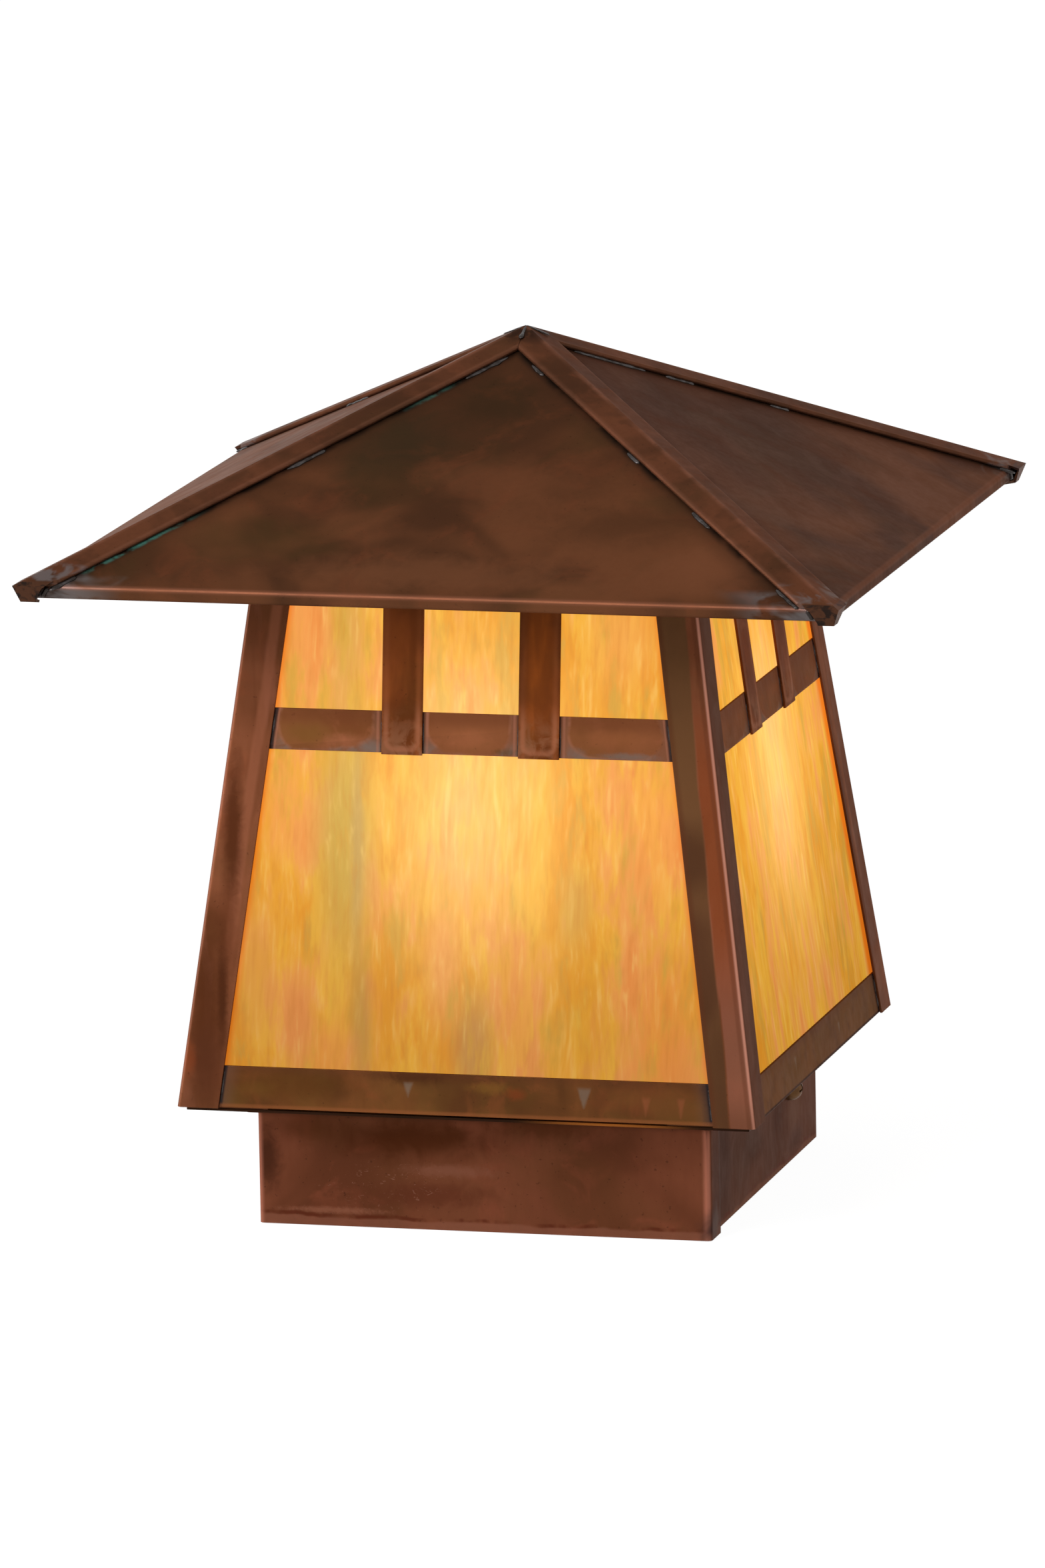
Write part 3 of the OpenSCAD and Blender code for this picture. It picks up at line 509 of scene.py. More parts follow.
# Painted shade: the side legs of the front-right and back-left posts are darker, turned away from
# the lamps.
side_leg_shade = (abs(post.x) - abs(post.y)).ease(0.0002, 0.0012)
post.paint(side_leg_shade * other_way * 0.85, (82, 52, 40))
side_strip = abs(leg_inner - 0.0036 + wobble * 0.003).ease(0.0024, 0.0010)
post.paint(side_strip * (1 - other_way) * post.z.ease(0.075, 0.100) * 0.6, (134, 80, 56))
post.patches(0.5, [
    (-75.5, -80.5, 126, 4.8, 30, 34, 0.9, 72, 36, 18),
    (-78.2, -87.5, 76, 2.6, 30, 26, 0.95, 62, 32, 18),
    (-77, -84, 96, 5, 30, 22, 0.6, 88, 46, 26),
    (-83.5, -89, 70, 10, 30, 50, 0.9, 74, 38, 19),
    (-83, -90.5, 54, 9, 30, 18, 0.65, 78, 42, 26),
    (-88.5, -90.5, 56, 3, 30, 8, 0.5, 120, 56, 28),
    (-70, -70, 205, 4.5, 30, 30, 0.6, 88, 48, 30),
    (79, 70, 100, 30, 4.5, 40, 0.6, 70, 42, 28)])
# Painted highlight along each post's folded corner, strongest on the front-right and back-left
# posts.
fold_highlight = post.corner.ease(0.0012, 0.0002)
post.paint(fold_highlight * (0.26 + other_way * 0.54), (204, 140, 118), 0.34)
# Painted shade at the foot of each post, near the plate.
post.paint(post.z.ease(0.052, 0.041) * 0.35, (76, 46, 28))
post_material = post.finished()

# %% Marks near a joint
def gap_to_leg(f):
    """Distance from a point of a side to the leg of the post beside it."""
    return half_at(f.z) - LEG_WIDTH - f.along()


def rounded_field(end_gap, height_gap, radius):
    """Depth inside a field with rounded corners, from the gaps to its sides."""
    corner = (radius - end_gap).larger(0) ** 2 + (radius - height_gap).larger(0) ** 2
    return radius - corner ** 0.5


print("bars from", round(BAR_IN / MM, 2), "to", round(BAR_OUT / MM, 2), "mm")

# %% Middle rail finish
mid = Copper("mid_rail_copper", (131, 78, 48), (112, 64, 36), (112, 72, 36), (148, 88, 58),
             cloud=0.036, seed=6.0, olive_share=0.45)
along, leg_gap = mid.along(), gap_to_leg(mid)
end_gap = (BAR_IN - along).larger((along - BAR_OUT).smaller(leg_gap))
uneven = mid.cloud(0.022, 2, 0.5, shift=(3, 3, 9)) - 0.5
field = rounded_field(end_gap, mid.z - MID_LOW + 0.0025, 0.0105) + uneven * 0.006
patchy = mid.cloud(0.009, 4, 0.6, 0.8, shift=(6, 3, 8)).ease(0.40, 0.62)
outside = field.ease(0.0032, 0.0018)
mid.paint(mid.z.ease(MID_HIGH - 0.0065, MID_HIGH - 0.0015) * 0.55, (104, 58, 34))
mid.patches(0.7, [
    (-52, -77, 157, 12, 30, 4.5, 0.55, 112, 76, 34),
    (-40, -77, 155, 10, 30, 3.5, 0.55, 148, 90, 62),
    (0, -77, 156.5, 11, 30, 4.5, 0.6, 150, 90, 58),
    (12, -77, 153, 6, 30, 1.6, 0.8, 76, 58, 26),
    (46, -77, 158, 14, 30, 4, 0.5, 140, 84, 50),
    (-32, -77, 153, 6, 30, 3.6, 0.7, 112, 102, 94),
    (50, -77, 152.8, 14, 30, 1.8, 0.65, 112, 100, 92),
    (34, -77, 153, 4, 30, 3, 0.5, 116, 96, 86)])
# Partly heat marks, partly a painted highlight: the border of each stretch and a pale pink ring
# inside it, where a dished sheet would catch the light.
mid.paint(outside * 0.35, (122, 84, 68))
mid.paint(abs(field - 0.0026).ease(0.0009, 0.0001) * patchy * 0.36, (156, 102, 78), 0.36)
low_edge = mid.z.ease(MID_LOW + 0.0060, MID_LOW + 0.001)
mid.paint(outside * low_edge * patchy * 0.45, (112, 102, 94), 0.34)
mid.paint(abs(end_gap - 0.0014).ease(0.0006, 0.0002) * 0.35, (168, 108, 86), 0.34)
mid.paint(end_gap.ease(0.0008, 0.0002) * 0.70, (50, 34, 28), 0.36)
joint = leg_gap + (mid.grain - 0.5) * 0.0008
mid.paint(joint.ease(0.0015, 0.0008) * 0.85, (48, 38, 38), 0.36)
mid_rail_material = mid.finished(0.0001, field.ease(0.0008, 0.0040) * 0.00010)

# %% Bottom rail finish
low_rail = Copper("bottom_rail_copper", (102, 62, 32), (80, 48, 25), (90, 62, 28), (112, 62, 34),
                  cloud=0.036, seed=7.5, olive_share=0.45)
low_rail.patches(0.9, [
    (-17, -91, 52.5, 16, 30, 3.8, 0.8, 56, 30, 16),
    (-58, -91, 48.5, 30, 30, 9, 0.65, 76, 44, 18),
    (-67, -91, 47.2, 10, 30, 3.4, 0.35, 98, 66, 28),
    (8, -91, 50, 10, 30, 3, 0.6, 106, 72, 30),
    (16, -91, 48.5, 5, 30, 2.8, 0.6, 112, 52, 26),
    (60, -91, 48, 24, 30, 8, 0.55, 108, 56, 32),
    (91, 10, 50, 30, 30, 6, 0.6, 64, 42, 28),
    (91, -52, 45, 30, 20, 5, 0.55, 108, 66, 42)])
right_side = (low_rail.x - abs(low_rail.y)).ease(0.0, 0.001)
low_rail.paint(right_side * 0.55, (112, 76, 44))
low_rail.paint(right_side * low_rail.cloud(0.010, 3, 0.6, shift=(8, 2, 6)).ease(0.48, 0.60) * 0.5,
               (78, 50, 30))
olive_run = low_rail.cloud(0.028, 3, 0.5, shift=(1, 1, 6)).ease(0.44, 0.58)
low_rail.paint(olive_run * low_rail.z.ease(FRAME_Z + 0.0125, FRAME_Z + 0.006) * 0.40, (98, 68, 32))
low_rail.paint(low_rail.z.ease(FRAME_Z + 0.0095, FRAME_Z + 0.0125) * 0.35, (80, 44, 26))
end_gap = gap_to_leg(low_rail)
low_rail.paint(end_gap.ease(0.0065, 0.0) * 0.45, (92, 66, 56), 0.36)
low_rail.paint((end_gap + (low_rail.small - 0.5) * 0.003).ease(0.0036, 0.0006)
               * low_rail.x.ease(0.0, 0.02) * 0.6, (40, 34, 34), 0.34)
low_rail.paint(end_gap.ease(0.0014, 0.0006) * 0.85, (36, 32, 34), 0.34)


def drip(f, across, away, where, foot, height, spread=0.34):
    """A V of old solder: a point at its foot that widens upwards. Places are in mm."""
    rising = f.z - foot * MM
    ragged = (f.grain - 0.5) * 0.0008 + (f.small - 0.5) * 0.0010
    inside = (abs(across - where * MM) - rising * spread + ragged).ease(0.0004, -0.0008)
    return (inside * rising.ease(0.0, 0.0006) * rising.ease(height * MM, height * MM * 0.75)
            * away.ease(0.06, 0.07))


x, y = low_rail.x, low_rail.y
for across, away, *place in (
        (x, 0 - y, -18.3, 45.8, 5.6), (x, 0 - y, 37.8, 44.4, 7.4), (y, x, -31, 45.8, 4.8),
        (y, x, 27, 45.2, 4), (x, y, 24, 46.1, 4.8), (y, 0 - x, -12, 45.5, 5.2)):
    low_rail.paint(drip(low_rail, across, away, *place) * 0.46, (114, 102, 90), 0.32)
for where in (57.5, 68.7):
    low_rail.paint(drip(low_rail, x, 0 - y, where, 42.5, 7.2, 0.24) * 0.42, (136, 74, 48), 0.36)
# Painted light: an orange line along the bottom edge, where the bulb's light leaks under the rail,
# except on the right side.
lamp_glow_foot_line = low_rail.z.ease(FRAME_Z + 0.0016, FRAME_Z + 0.0006) * (1 - right_side)
low_rail.paint(lamp_glow_foot_line * 0.5, (134, 78, 44), 0.32)
# Painted shadow: a near-black line along the bottom edge of the right side.
low_rail.paint(right_side * low_rail.z.ease(FRAME_Z + 0.0010, FRAME_Z + 0.0005) * 0.85,
               (28, 20, 15))
low_rail_material = low_rail.finished()

# %% Glazing bar finish
bar = Copper("glazing_bar_copper", (128, 66, 30), (92, 46, 20), (86, 52, 22),
             (134, 68, 34), cloud=0.036, seed=11.0)
bar_middle = (BAR_IN + BAR_OUT) / 2
across_bar = abs(bar.along() - bar_middle)
bar_edge = abs(across_bar - 0.0052).ease(0.0016, 0.0)
bar.paint(bar_edge * 0.40, (148, 82, 46))
bar.paint(bar.spot((0.0218, -0.072, 0.192), (0.0066, 0.03, 0.050), 0.4) * 0.95, (140, 71, 27))
bar.paint(bar.z.ease(0.176, 0.212) * 0.45, (62, 32, 15))
bar.paint(bar.cloud(0.007, 3, 0.5, stretch=(1, 1, 0.08)).ease(0.46, 0.58) * 0.35, (76, 38, 18))
foot_mask = bar.z.ease(0.168, 0.153) * bar.cloud(0.006, 4, 0.6, 1.0).ease(0.4, 0.6)
bar.paint(foot_mask * 0.55, (138, 92, 66), 0.34)
foot_field = rounded_field(0.0065 - across_bar, bar.z - MID_LOW, 0.004)
bar.paint(foot_field.ease(0.0002, 0.0012) * foot_field.ease(0.003, 0.0014)
          * bar.z.ease(0.170, 0.160) * 0.45, (158, 98, 70), 0.34)
bar_material = bar.finished(0.0002)

# %% [markdown]
# ## Collar and base plate
#
# The collar is a reddish brown with broad dark clouds at its left end and top, and a
# thin stain line a few millimetres above its bottom edge. Its lapped corner carries
# dark solder. Its right wall and a band along its top, under the plate, get painted
# shade, and its folded corners a painted highlight. The plate's rim gets a painted
# shadow, with a painted orange glow on the front where the bulb's light leaks out.

# %% Collar finish
collar = Copper("collar_copper", (111, 62, 42), (88, 48, 30), (84, 52, 28),
                (120, 64, 44), cloud=0.055, seed=14.0, olive_share=0.3)
collar.patches(0.9, [
    (-22, -73, 29, 36, 30, 10, 0.85, 68, 32, 13),
    (-56, -73, 31, 16, 30, 7, 0.6, 80, 42, 20),
    (20, -73, 34, 26, 30, 5, 0.65, 74, 38, 18),
    (-69, -73, 21, 6, 30, 14, 0.8, 58, 30, 18),
    (-18, -73, 11, 32, 30, 6, 0.7, 84, 42, 26),
    (-10, -73, 19, 20, 30, 3, 0.6, 122, 76, 58),
    (-48, -73, 5, 24, 30, 1.6, 0.7, 126, 78, 58),
    (73, -30, 20, 30, 26, 20, 0.65, 60, 40, 26),
    (73, -52, 30, 30, 14, 12, 0.65, 66, 38, 24),
    (73, 20, 12, 30, 30, 12, 0.5, 76, 44, 30),
    (73, -67, 18, 30, 4, 30, 0.55, 70, 40, 30)])
# Painted shade: the right wall is darker, as it faces away from the lamps.
shaded_right_wall = collar.x.ease(0.0715, 0.0721)
collar.paint(shaded_right_wall * 0.62, (60, 38, 25))
collar.paint(shaded_right_wall * collar.spot((0.073, -0.056, 0.018), (0.03, 0.022, 0.034), 0.6) * 0.70,
             (44, 31, 24))
collar.patches(0.8, [
    (73, 42, 16.6, 30, 13, 10, 0.7, 98, 68, 55),
    (73, 19, 21.7, 30, 10, 12, 0.6, 52, 32, 23),
    (73, 43, 7, 30, 14, 6, 0.6, 56, 35, 26),
    (73, 65, 9.7, 30, 10, 16, 0.5, 86, 56, 45),
    (73, -13, 19.4, 30, 18, 14, 0.6, 44, 32, 22)])
wander = collar.cloud(0.024, 3, 0.55, 0.5, stretch=(1, 1, 0.1))
line = collar.z - 0.0012 - wander * 0.0042
broken = collar.cloud(0.010, 3, 0.6, shift=(2, 9, 1)).ease(0.40, 0.56)
collar.paint(line.ease(0.0, -0.0012) * 0.40, (132, 84, 66))
collar.paint(abs(line).ease(0.0009, 0.0002) * broken * 0.75, (80, 34, 20))
# Painted highlight on the collar's folded corners.
corner = collar.corner.ease(0.0022, 0.0004)
collar.paint(corner * 0.62, (182, 114, 92), 0.34)
lap_solder = collar.spot((0.0735, -0.0680, 0.004), (0.008, 0.0085, 0.009), 0.7)
collar.paint(lap_solder * 0.95, (38, 33, 33), 0.3)
collar.paint(collar.x.ease(0.0724, 0.0729) * abs(collar.y + 0.0603).ease(0.0016, 0.0002) * 0.8,
             (40, 30, 26), 0.34)
scratch = collar.cloud(0.0016, 3, 0.8, 2.0, stretch=(0.5, 0.5, 1)).ease(0.62, 0.68)
collar.paint(scratch * collar.spot((-0.030, -0.072, 0.013), (0.034, 0.02, 0.012)) * 0.55,
             (142, 98, 80))
# Painted shade along the collar's top, under the plate.
collar.paint(collar.z.ease(0.0335, 0.0360) * 0.5, (54, 29, 17))
collar_material = collar.finished()

# %% Base plate finish
plate = Copper("base_plate_copper", (112, 66, 42), (74, 46, 28), (78, 56, 32),
               (122, 66, 44), cloud=0.05, seed=17.0)
# Painted shadow: the plate's rim is near-black where it lies in the shade under the rails.
rim = plate.reach().ease(0.0888, 0.0896)
plate.paint(rim * 0.9, (34, 22, 15), 0.4)
# Painted light: an orange glow on the front rim, where the bulb's light leaks under the rail.
rim_lamp_glow = plate.spot((0.045, -0.0905, 0.0398), (0.032, 0.004, 0.003))
plate.paint(rim_lamp_glow * 0.8, (158, 92, 38), 0.34)
plate_material = plate.finished()

# %% [markdown]
# ## Putting the copper on the frame's nodes
#
# The nodes keep their meshes. Each one gets its finish, and two modifiers that leave
# the mesh alone: a weld, because the imported faces don't share their edges, and a
# very small bevel, because a sheared sheet has a rounded edge that catches light.

# %% Dress the copper nodes
EDGE, WELD_GAP = 0.14 * MM, 0.002 * MM


def dress(node, material, edge=EDGE):
    """Gives a frame node a finish and softened edges."""
    thing = nodes[node]
    thing.data.materials.clear()
    thing.data.materials.append(material)
    if edge:
        thing.modifiers.new("weld", "WELD").merge_threshold = WELD_GAP
        soft = thing.modifiers.new("soft_edges", "BEVEL")
        soft.width, soft.segments, soft.harden_normals = edge, 2, True
        soft.limit_method, soft.angle_limit = "ANGLE", math.radians(40)


COPPER_KINDS = {
    "roof_panel": roof_material, "hip_cap": cap_material, "corner_post": post_material,
    "top_rail": post_material, "mid_rail": mid_rail_material, "bottom_rail": low_rail_material,
    "muntin": bar_material, "glass_tabs": post_material, "corner_gussets": post_material,
    "locating_clips": plate_material, "base_plate": plate_material, "collar": collar_material}
for kind, material in COPPER_KINDS.items():
    for node in (name for name in nodes if name.startswith(kind)):
        dress(node, material)
print(len(COPPER_KINDS), "kinds of copper node dressed")

# %% [markdown]
# ## Art glass
#
# The panes are streaky opalescent glass, lit by the bulb behind them. The streaks
# run down the pane: golden, peach and orange bands, with thin pale threads and a
# little green, and a table of patches puts the broadest ones where the photograph
# shows them. The bulb shows only as a soft bright place, so the brightness is a
# falling function of the distance from the bulb to the point on the pane. The glass
# has its own faint glow built in, because a lamp behind a real translucent sheet
# would make a noisy picture and would be lost when the model is used elsewhere.

# %% Streaks in the glass
glass = Finish("art_glass_streaky", Roughness=0.24, Specular_IOR_Level=0.0, Coat_Roughness=0.12,
               Base_Color=tint(40, 24, 12), Emission_Strength=1.0)
facing = glass.node("ShaderNodeLayerWeight", {}, {"Blend": 0.5}, out="Facing")
glass.set("Coat Weight", (1 - facing) ** 3 * 0.14)
bend = (glass.cloud(0.03, 2, 0.5, stretch=(1, 1, 0.4), shift=(4, 4, 4)) - 0.5) * 0.005
warped = glass.node("ShaderNodeCombineXYZ", {},
                    {"X": glass.x + bend, "Y": glass.y + bend, "Z": glass.z})


def streaks(width, length, shift, detail=4, rough=0.6):
    """Upright streaks about this wide and long, from 0 to 1."""
    return glass.cloud(width, detail, rough, stretch=(1, 1, width / length), shift=shift,
                       start=warped)


broad = streaks(0.021, 0.052, (1.3, 0.4, 2.0), rough=0.55)
second = streaks(0.012, 0.036, (7.1, 3.4, 5.0))
band = streaks(0.0048, 0.046, (2.0, 8.0, 1.0))
thread = streaks(0.0017, 0.046, (5.0, 5.0, 5.0), 2, 0.5)
fine = streaks(0.0007, 0.016, (9.0, 1.0, 3.0), 2, 0.5)
print("streaks:", len(glass.tree.nodes), "shader nodes so far")

# %% Colours of the glass
GOLD, AMBER, PEACH, ORANGE = (244, 173, 56), (240, 156, 42), (248, 164, 84), (242, 142, 66)
OLIVE, CREAM = (204, 168, 74), (255, 214, 120)
hue = broad * 0.46 + second * 0.30 + band * 0.24
glass.colour = tint(*AMBER)
glass.paint(hue.ease(0.42, 0.52), GOLD)
glass.paint(hue.ease(0.47, 0.58), PEACH)
glass.paint(hue.ease(0.54, 0.66) * 0.7, ORANGE)
green = (second * 0.55 + band * 0.45).ease(0.50, 0.36)
glass.paint(green * 0.60, OLIVE)
yellow = streaks(0.008, 0.040, (3.0, 6.0, 9.0)).ease(0.50, 0.62)
glass.paint(yellow * 0.55, (252, 190, 64))
glass.patches(0, [
    (-40, -82, 128, 15, 30, 64, 0.85, 204, 170, 78),
    (-36, -83, 125, 3.5, 30, 50, 0.75, 196, 158, 92),
    (-34, -87, 68, 6, 30, 36, 0.7, 196, 148, 72),
    (2, -87, 62, 10, 30, 26, 0.75, 202, 146, 84),
    (34, -84, 106, 8, 30, 22, 0.6, 220, 176, 86),
    (38, -85, 76, 13, 30, 34, 0.7, 234, 158, 40),
    (62, -86, 66, 16, 30, 36, 0.8, 248, 152, 66),
    (-46, -88, 58, 16, 30, 16, 0.7, 246, 156, 72),
    (22, -83, 128, 8, 30, 40, 0.65, 255, 190, 62),
    (58, -83, 128, 14, 30, 30, 0.7, 252, 164, 76),
    (48, -78, 190, 18, 30, 30, 0.6, 252, 172, 88),
    (-58, -76, 185, 9, 30, 30, 0.65, 246, 160, 80),
    (-40, -76, 190, 10, 30, 34, 0.6, 216, 170, 76),
    (-60, -83, 132, 7, 30, 22, 0.8, 248, 160, 80),
    (-68, -86, 84, 10, 30, 34, 0.75, 236, 162, 72),
    (-54, -87, 68, 8, 30, 24, 0.8, 240, 150, 78),
    (-26, -86, 82, 8, 30, 34, 0.75, 234, 150, 34),
    (-8, -84, 88, 9, 30, 30, 0.75, 252, 166, 94),
    (16, -84, 78, 7, 30, 34, 0.6, 244, 152, 72)],
    where=(second + band).ease(0.62, 0.98))
glass.paint(thread.ease(0.50, 0.74) * band.ease(0.40, 0.62) * 0.34, CREAM)
glass.paint(thread.ease(0.48, 0.28) * 0.20, (222, 136, 56))
print("colours:", len(glass.tree.nodes), "shader nodes so far")

# %% Light behind the glass
GLOW_WIDE, GLOW_TALL, GLOW_Z = 0.032, 0.048, 0.136
from_bulb = (glass.along() / GLOW_WIDE) ** 2 + (abs(glass.z - GLOW_Z) / GLOW_TALL) ** 2
heart = (0 - from_bulb).exp()
glass.paint(heart * (0.30 + thread * 0.30), (255, 210, 134))
rising = glass.z.ease(0.045, 0.150)
shine = (0.68 + 0.29 * rising + 0.30 * heart) * (0.94 + 0.12 * thread) * (0.97 + 0.06 * fine)
# Painted reflection: deep orange where the pane runs under a post's leg and the copper throws the
# glow back.
under_leg_glow = gap_to_leg(glass).ease(0.0026, -0.0012)
glass.paint(under_leg_glow * 0.8, (244, 112, 16))
lit = glass.node("ShaderNodeVectorMath", {"operation": "SCALE"}, {0: glass.colour, "Scale": shine})
glass.set("Emission Color", lit)
seeds = glass.node("ShaderNodeTexVoronoi", {},
                   {"Vector": glass.stretched((1, 1, 0.55)), "Scale": 62, "Randomness": 1.0},
                   out="Distance")
seed_height = seeds.ease(0.075, 0.02) * 0.00012
glass.relief(band * 0.0002 + thread * 0.00003 + fine * 0.00002 + seed_height)
glass_material = glass.material
print("glass:", len(glass.tree.nodes), "shader nodes")

# %% [markdown]
# ## The panes as wavy sheets
#
# Rolled glass is never flat: its face has long ripples along the rolling direction.
# The frame holds flat panes, so each one is replaced by a sheet of the same outline
# and thickness whose two faces dip by up to a fifth of a millimetre. The dips go
# inwards only, so the sheet stays in the space of the flat pane.

# %% Making a piece
def closed_mesh(name, points, faces):
    """A mesh with its doubled points merged and its faces turned outwards."""
    mesh = bpy.data.meshes.new(name)
    mesh.from_pydata([tuple(p) for p in points], [], faces)
    mesh.validate()
    shape = bmesh.new()
    shape.from_mesh(mesh)
    bmesh.ops.remove_doubles(shape, verts=shape.verts, dist=1e-7)
    bmesh.ops.recalc_face_normals(shape, faces=shape.faces)
    shape.to_mesh(mesh)
    shape.free()
    return mesh


def smooth_by_angle(thing, degrees=35):
    """Keeps edges sharper than an angle sharp, and smooths the rest."""
    shape = bmesh.new()
    shape.from_mesh(thing.data)
    for edge in shape.edges:
        edge.smooth = len(edge.link_faces) == 2 and edge.calc_face_angle(0) < math.radians(degrees)
    shape.to_mesh(thing.data)
    shape.free()


def new_piece(name, points, faces, material, body, slot, replaces=(), sharp=None, smooth=True):
    """A mesh that rides on a body of the frame. Edges over `sharp` degrees stay sharp."""
    mesh = closed_mesh(name, points, faces)
    mesh.polygons.foreach_set("use_smooth", [smooth] * len(mesh.polygons))
    mesh.materials.append(material)
    thing = add_object(name, mesh)
    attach(thing, body)
    if replaces:
        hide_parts(*replaces)
    if sharp:
        smooth_by_angle(thing, sharp)
    return thing


# %% Pane sheets
ACROSS, DOWN_STEPS = 84, 64
PANE_EDGE, PANE_OUT, PANE_IN, RIPPLE = 6.6 * MM, 1.7 * MM, 4.7 * MM, 0.2 * MM


def ripple(point, shift):
    """How far the glass dips at a point, from 0 to RIPPLE."""
    long, short = (noise.noise(Vector((point.x * fine, point.y * fine, point.z * tall)) + shift)
                   for fine, tall in ((95, 14), (300, 40)))
    return RIPPLE * min(1, max(0, 0.5 + 0.6 * long + 0.25 * short))


def pane_sheet(side):
    """The points and faces of one pane, front face then back face."""
    pane_low, pane_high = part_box("glass_pane_front")
    sine, cosine = math.sin(LEAN_ANGLE), math.cos(LEAN_ANGLE)
    v_low = (pane_low.z - FRAME_Z + PANE_IN * sine) / cosine
    v_high = (pane_high.z - FRAME_Z + PANE_OUT * sine) / cosine
    points, faces = [], []
    for layer, depth in enumerate((PANE_OUT, PANE_IN)):
        for row in range(DOWN_STEPS + 1):
            v = v_low + (v_high - v_low) * row / DOWN_STEPS
            half = FRAME_HALF - v * sine - PANE_EDGE
            for column in range(ACROSS + 1):
                flat = (Vector((half * (2 * column / ACROSS - 1), -FRAME_HALF, FRAME_Z))
                        + FACE_UP * v - FACE_OUT * depth)
                rim = row in (0, DOWN_STEPS) or column in (0, ACROSS)
                dip = 0 if rim else ripple(flat, Vector((side * 7.0, layer * 5.0, 0)))
                points.append(turned(flat + FACE_OUT * dip * (2 * layer - 1), side))
    wide_row = ACROSS + 1
    count = wide_row * (DOWN_STEPS + 1)
    for a in (layer * count + row * wide_row + column for layer in (0, 1)
              for row in range(DOWN_STEPS) for column in range(ACROSS)):
        quad = (a, a + 1, a + 1 + wide_row, a + wide_row)
        faces.append(quad if a < count else quad[::-1])
    loop = (list(range(ACROSS)) + [ACROSS + wide_row * r for r in range(DOWN_STEPS)]
            + [count - 1 - c for c in range(ACROSS)]
            + [wide_row * r for r in range(DOWN_STEPS, 0, -1)])
    faces += [(two, one, one + count, two + count) for one, two in zip(loop, loop[1:] + loop[:1])]
    return points, faces


for number, side in enumerate(("front", "right", "back", "left")):
    pane = new_piece("glass_sheet_" + side, *pane_sheet(number), glass_material, "lantern",
                     "art_glass", ["glass_pane_" + side], sharp=35)
    print(pane.name, len(pane.data.polygons), "faces")

# %% [markdown]
# ## Plain finishes for the lamp inside
#
# The lamp is seen only when the lantern is lifted off, but then it is seen well:
# glazed porcelain, rolled brass, zinc-plated steel, black rubber, a green earth
# screw and the frosted bulb.

# %% Lamp finishes
def plain(name, colour, second, metallic, rough, size=4, ripple=0.02, share=0.4, **more):
    """Two close colours in small clouds with a faint relief, both sizes in mm."""
    f = Finish(name, Metallic=metallic, **more)
    cloud = f.cloud(size * MM, 3, 0.6, 0.5)
    fine_cloud = f.cloud(size * MM / 6, 2, 0.6)
    f.set("Base Color", f.blend(cloud.ease(0.4, 0.7) * share, tint(*colour), tint(*second)))
    f.set("Roughness", rough + fine_cloud.ease(0.3, 0.8) * 0.12)
    f.relief(cloud * (ripple * MM) + fine_cloud * (ripple * MM * 0.2))
    return f.material


porcelain = plain("glazed_porcelain", (238, 236, 228), (224, 220, 208), 0, 0.12, 8, 0.05,
                  Coat_Weight=0.5)
brass = plain("rolled_brass", (214, 176, 96), (176, 138, 70), 1, 0.26)
zinc = plain("zinc_plated_steel", (186, 188, 190), (150, 152, 156), 1, 0.3, 3)
rubber = plain("black_rubber", (30, 30, 31), (40, 39, 38), 0, 0.6, 2)
earth_green = plain("earth_green", (38, 116, 58), (30, 92, 46), 0.2, 0.35)
black_glass = plain("black_insulator", (22, 20, 24), (34, 30, 36), 0, 0.12)
solder = plain("dark_solder", (46, 40, 37), (92, 88, 88), 0.85, 0.26, 3.5, 0.10, 0.55)
bright_solder = plain("grey_solder", (128, 126, 128), (84, 76, 72), 0.9, 0.28, 3, 0.08, 0.6)
screw_copper = plain("screw_copper", (116, 82, 52), (78, 54, 34), 0.5, 0.38, 3,
                     Specular_IOR_Level=0.03)

BULB_HEART = (0, 0, 0.116)
frosted = Finish("frosted_bulb_lit", Roughness=0.4, Base_Color=tint(128, 118, 102),
                 Emission_Strength=0.85)
from_heart = frosted.node("ShaderNodeVectorMath", {"operation": "DISTANCE"},
                          {0: frosted.at, 1: BULB_HEART}, out="Value")
frosted.set("Emission Color", frosted.blend(from_heart.ease(0.048, 0.020), tint(214, 156, 92),
                                            tint(255, 222, 166)))
frosted.relief(frosted.cloud(0.0006, 2, 0.5) * 0.000006)

for node, material, edge in (
        ("socket_bracket", zinc, 0.2), ("bracket_rivets", zinc, 0),
        ("socket_body", porcelain, 0.4), ("socket_contact", brass, 0.05),
        ("wire_grommet", rubber, 0.2), ("earth_screw", earth_green, 0.15)):
    dress(node, material, edge * MM)
print("lamp finishes made")

# %% [markdown]
# ## Turned pieces and threads
#
# A bulb, its cap, the holder's shell and a wood screw are all turned shapes. The
# thread is made by letting the radius rise and fall as a helix while the outline is
# spun, which is how the rolled cap of a real bulb is shaped too.

# %% Spinning an outline
TURNS = {"Z": Matrix.Identity(3), "X": Matrix.Rotation(math.pi / 2, 3, "Y"),
         "-X": Matrix.Rotation(-math.pi / 2, 3, "Y")}


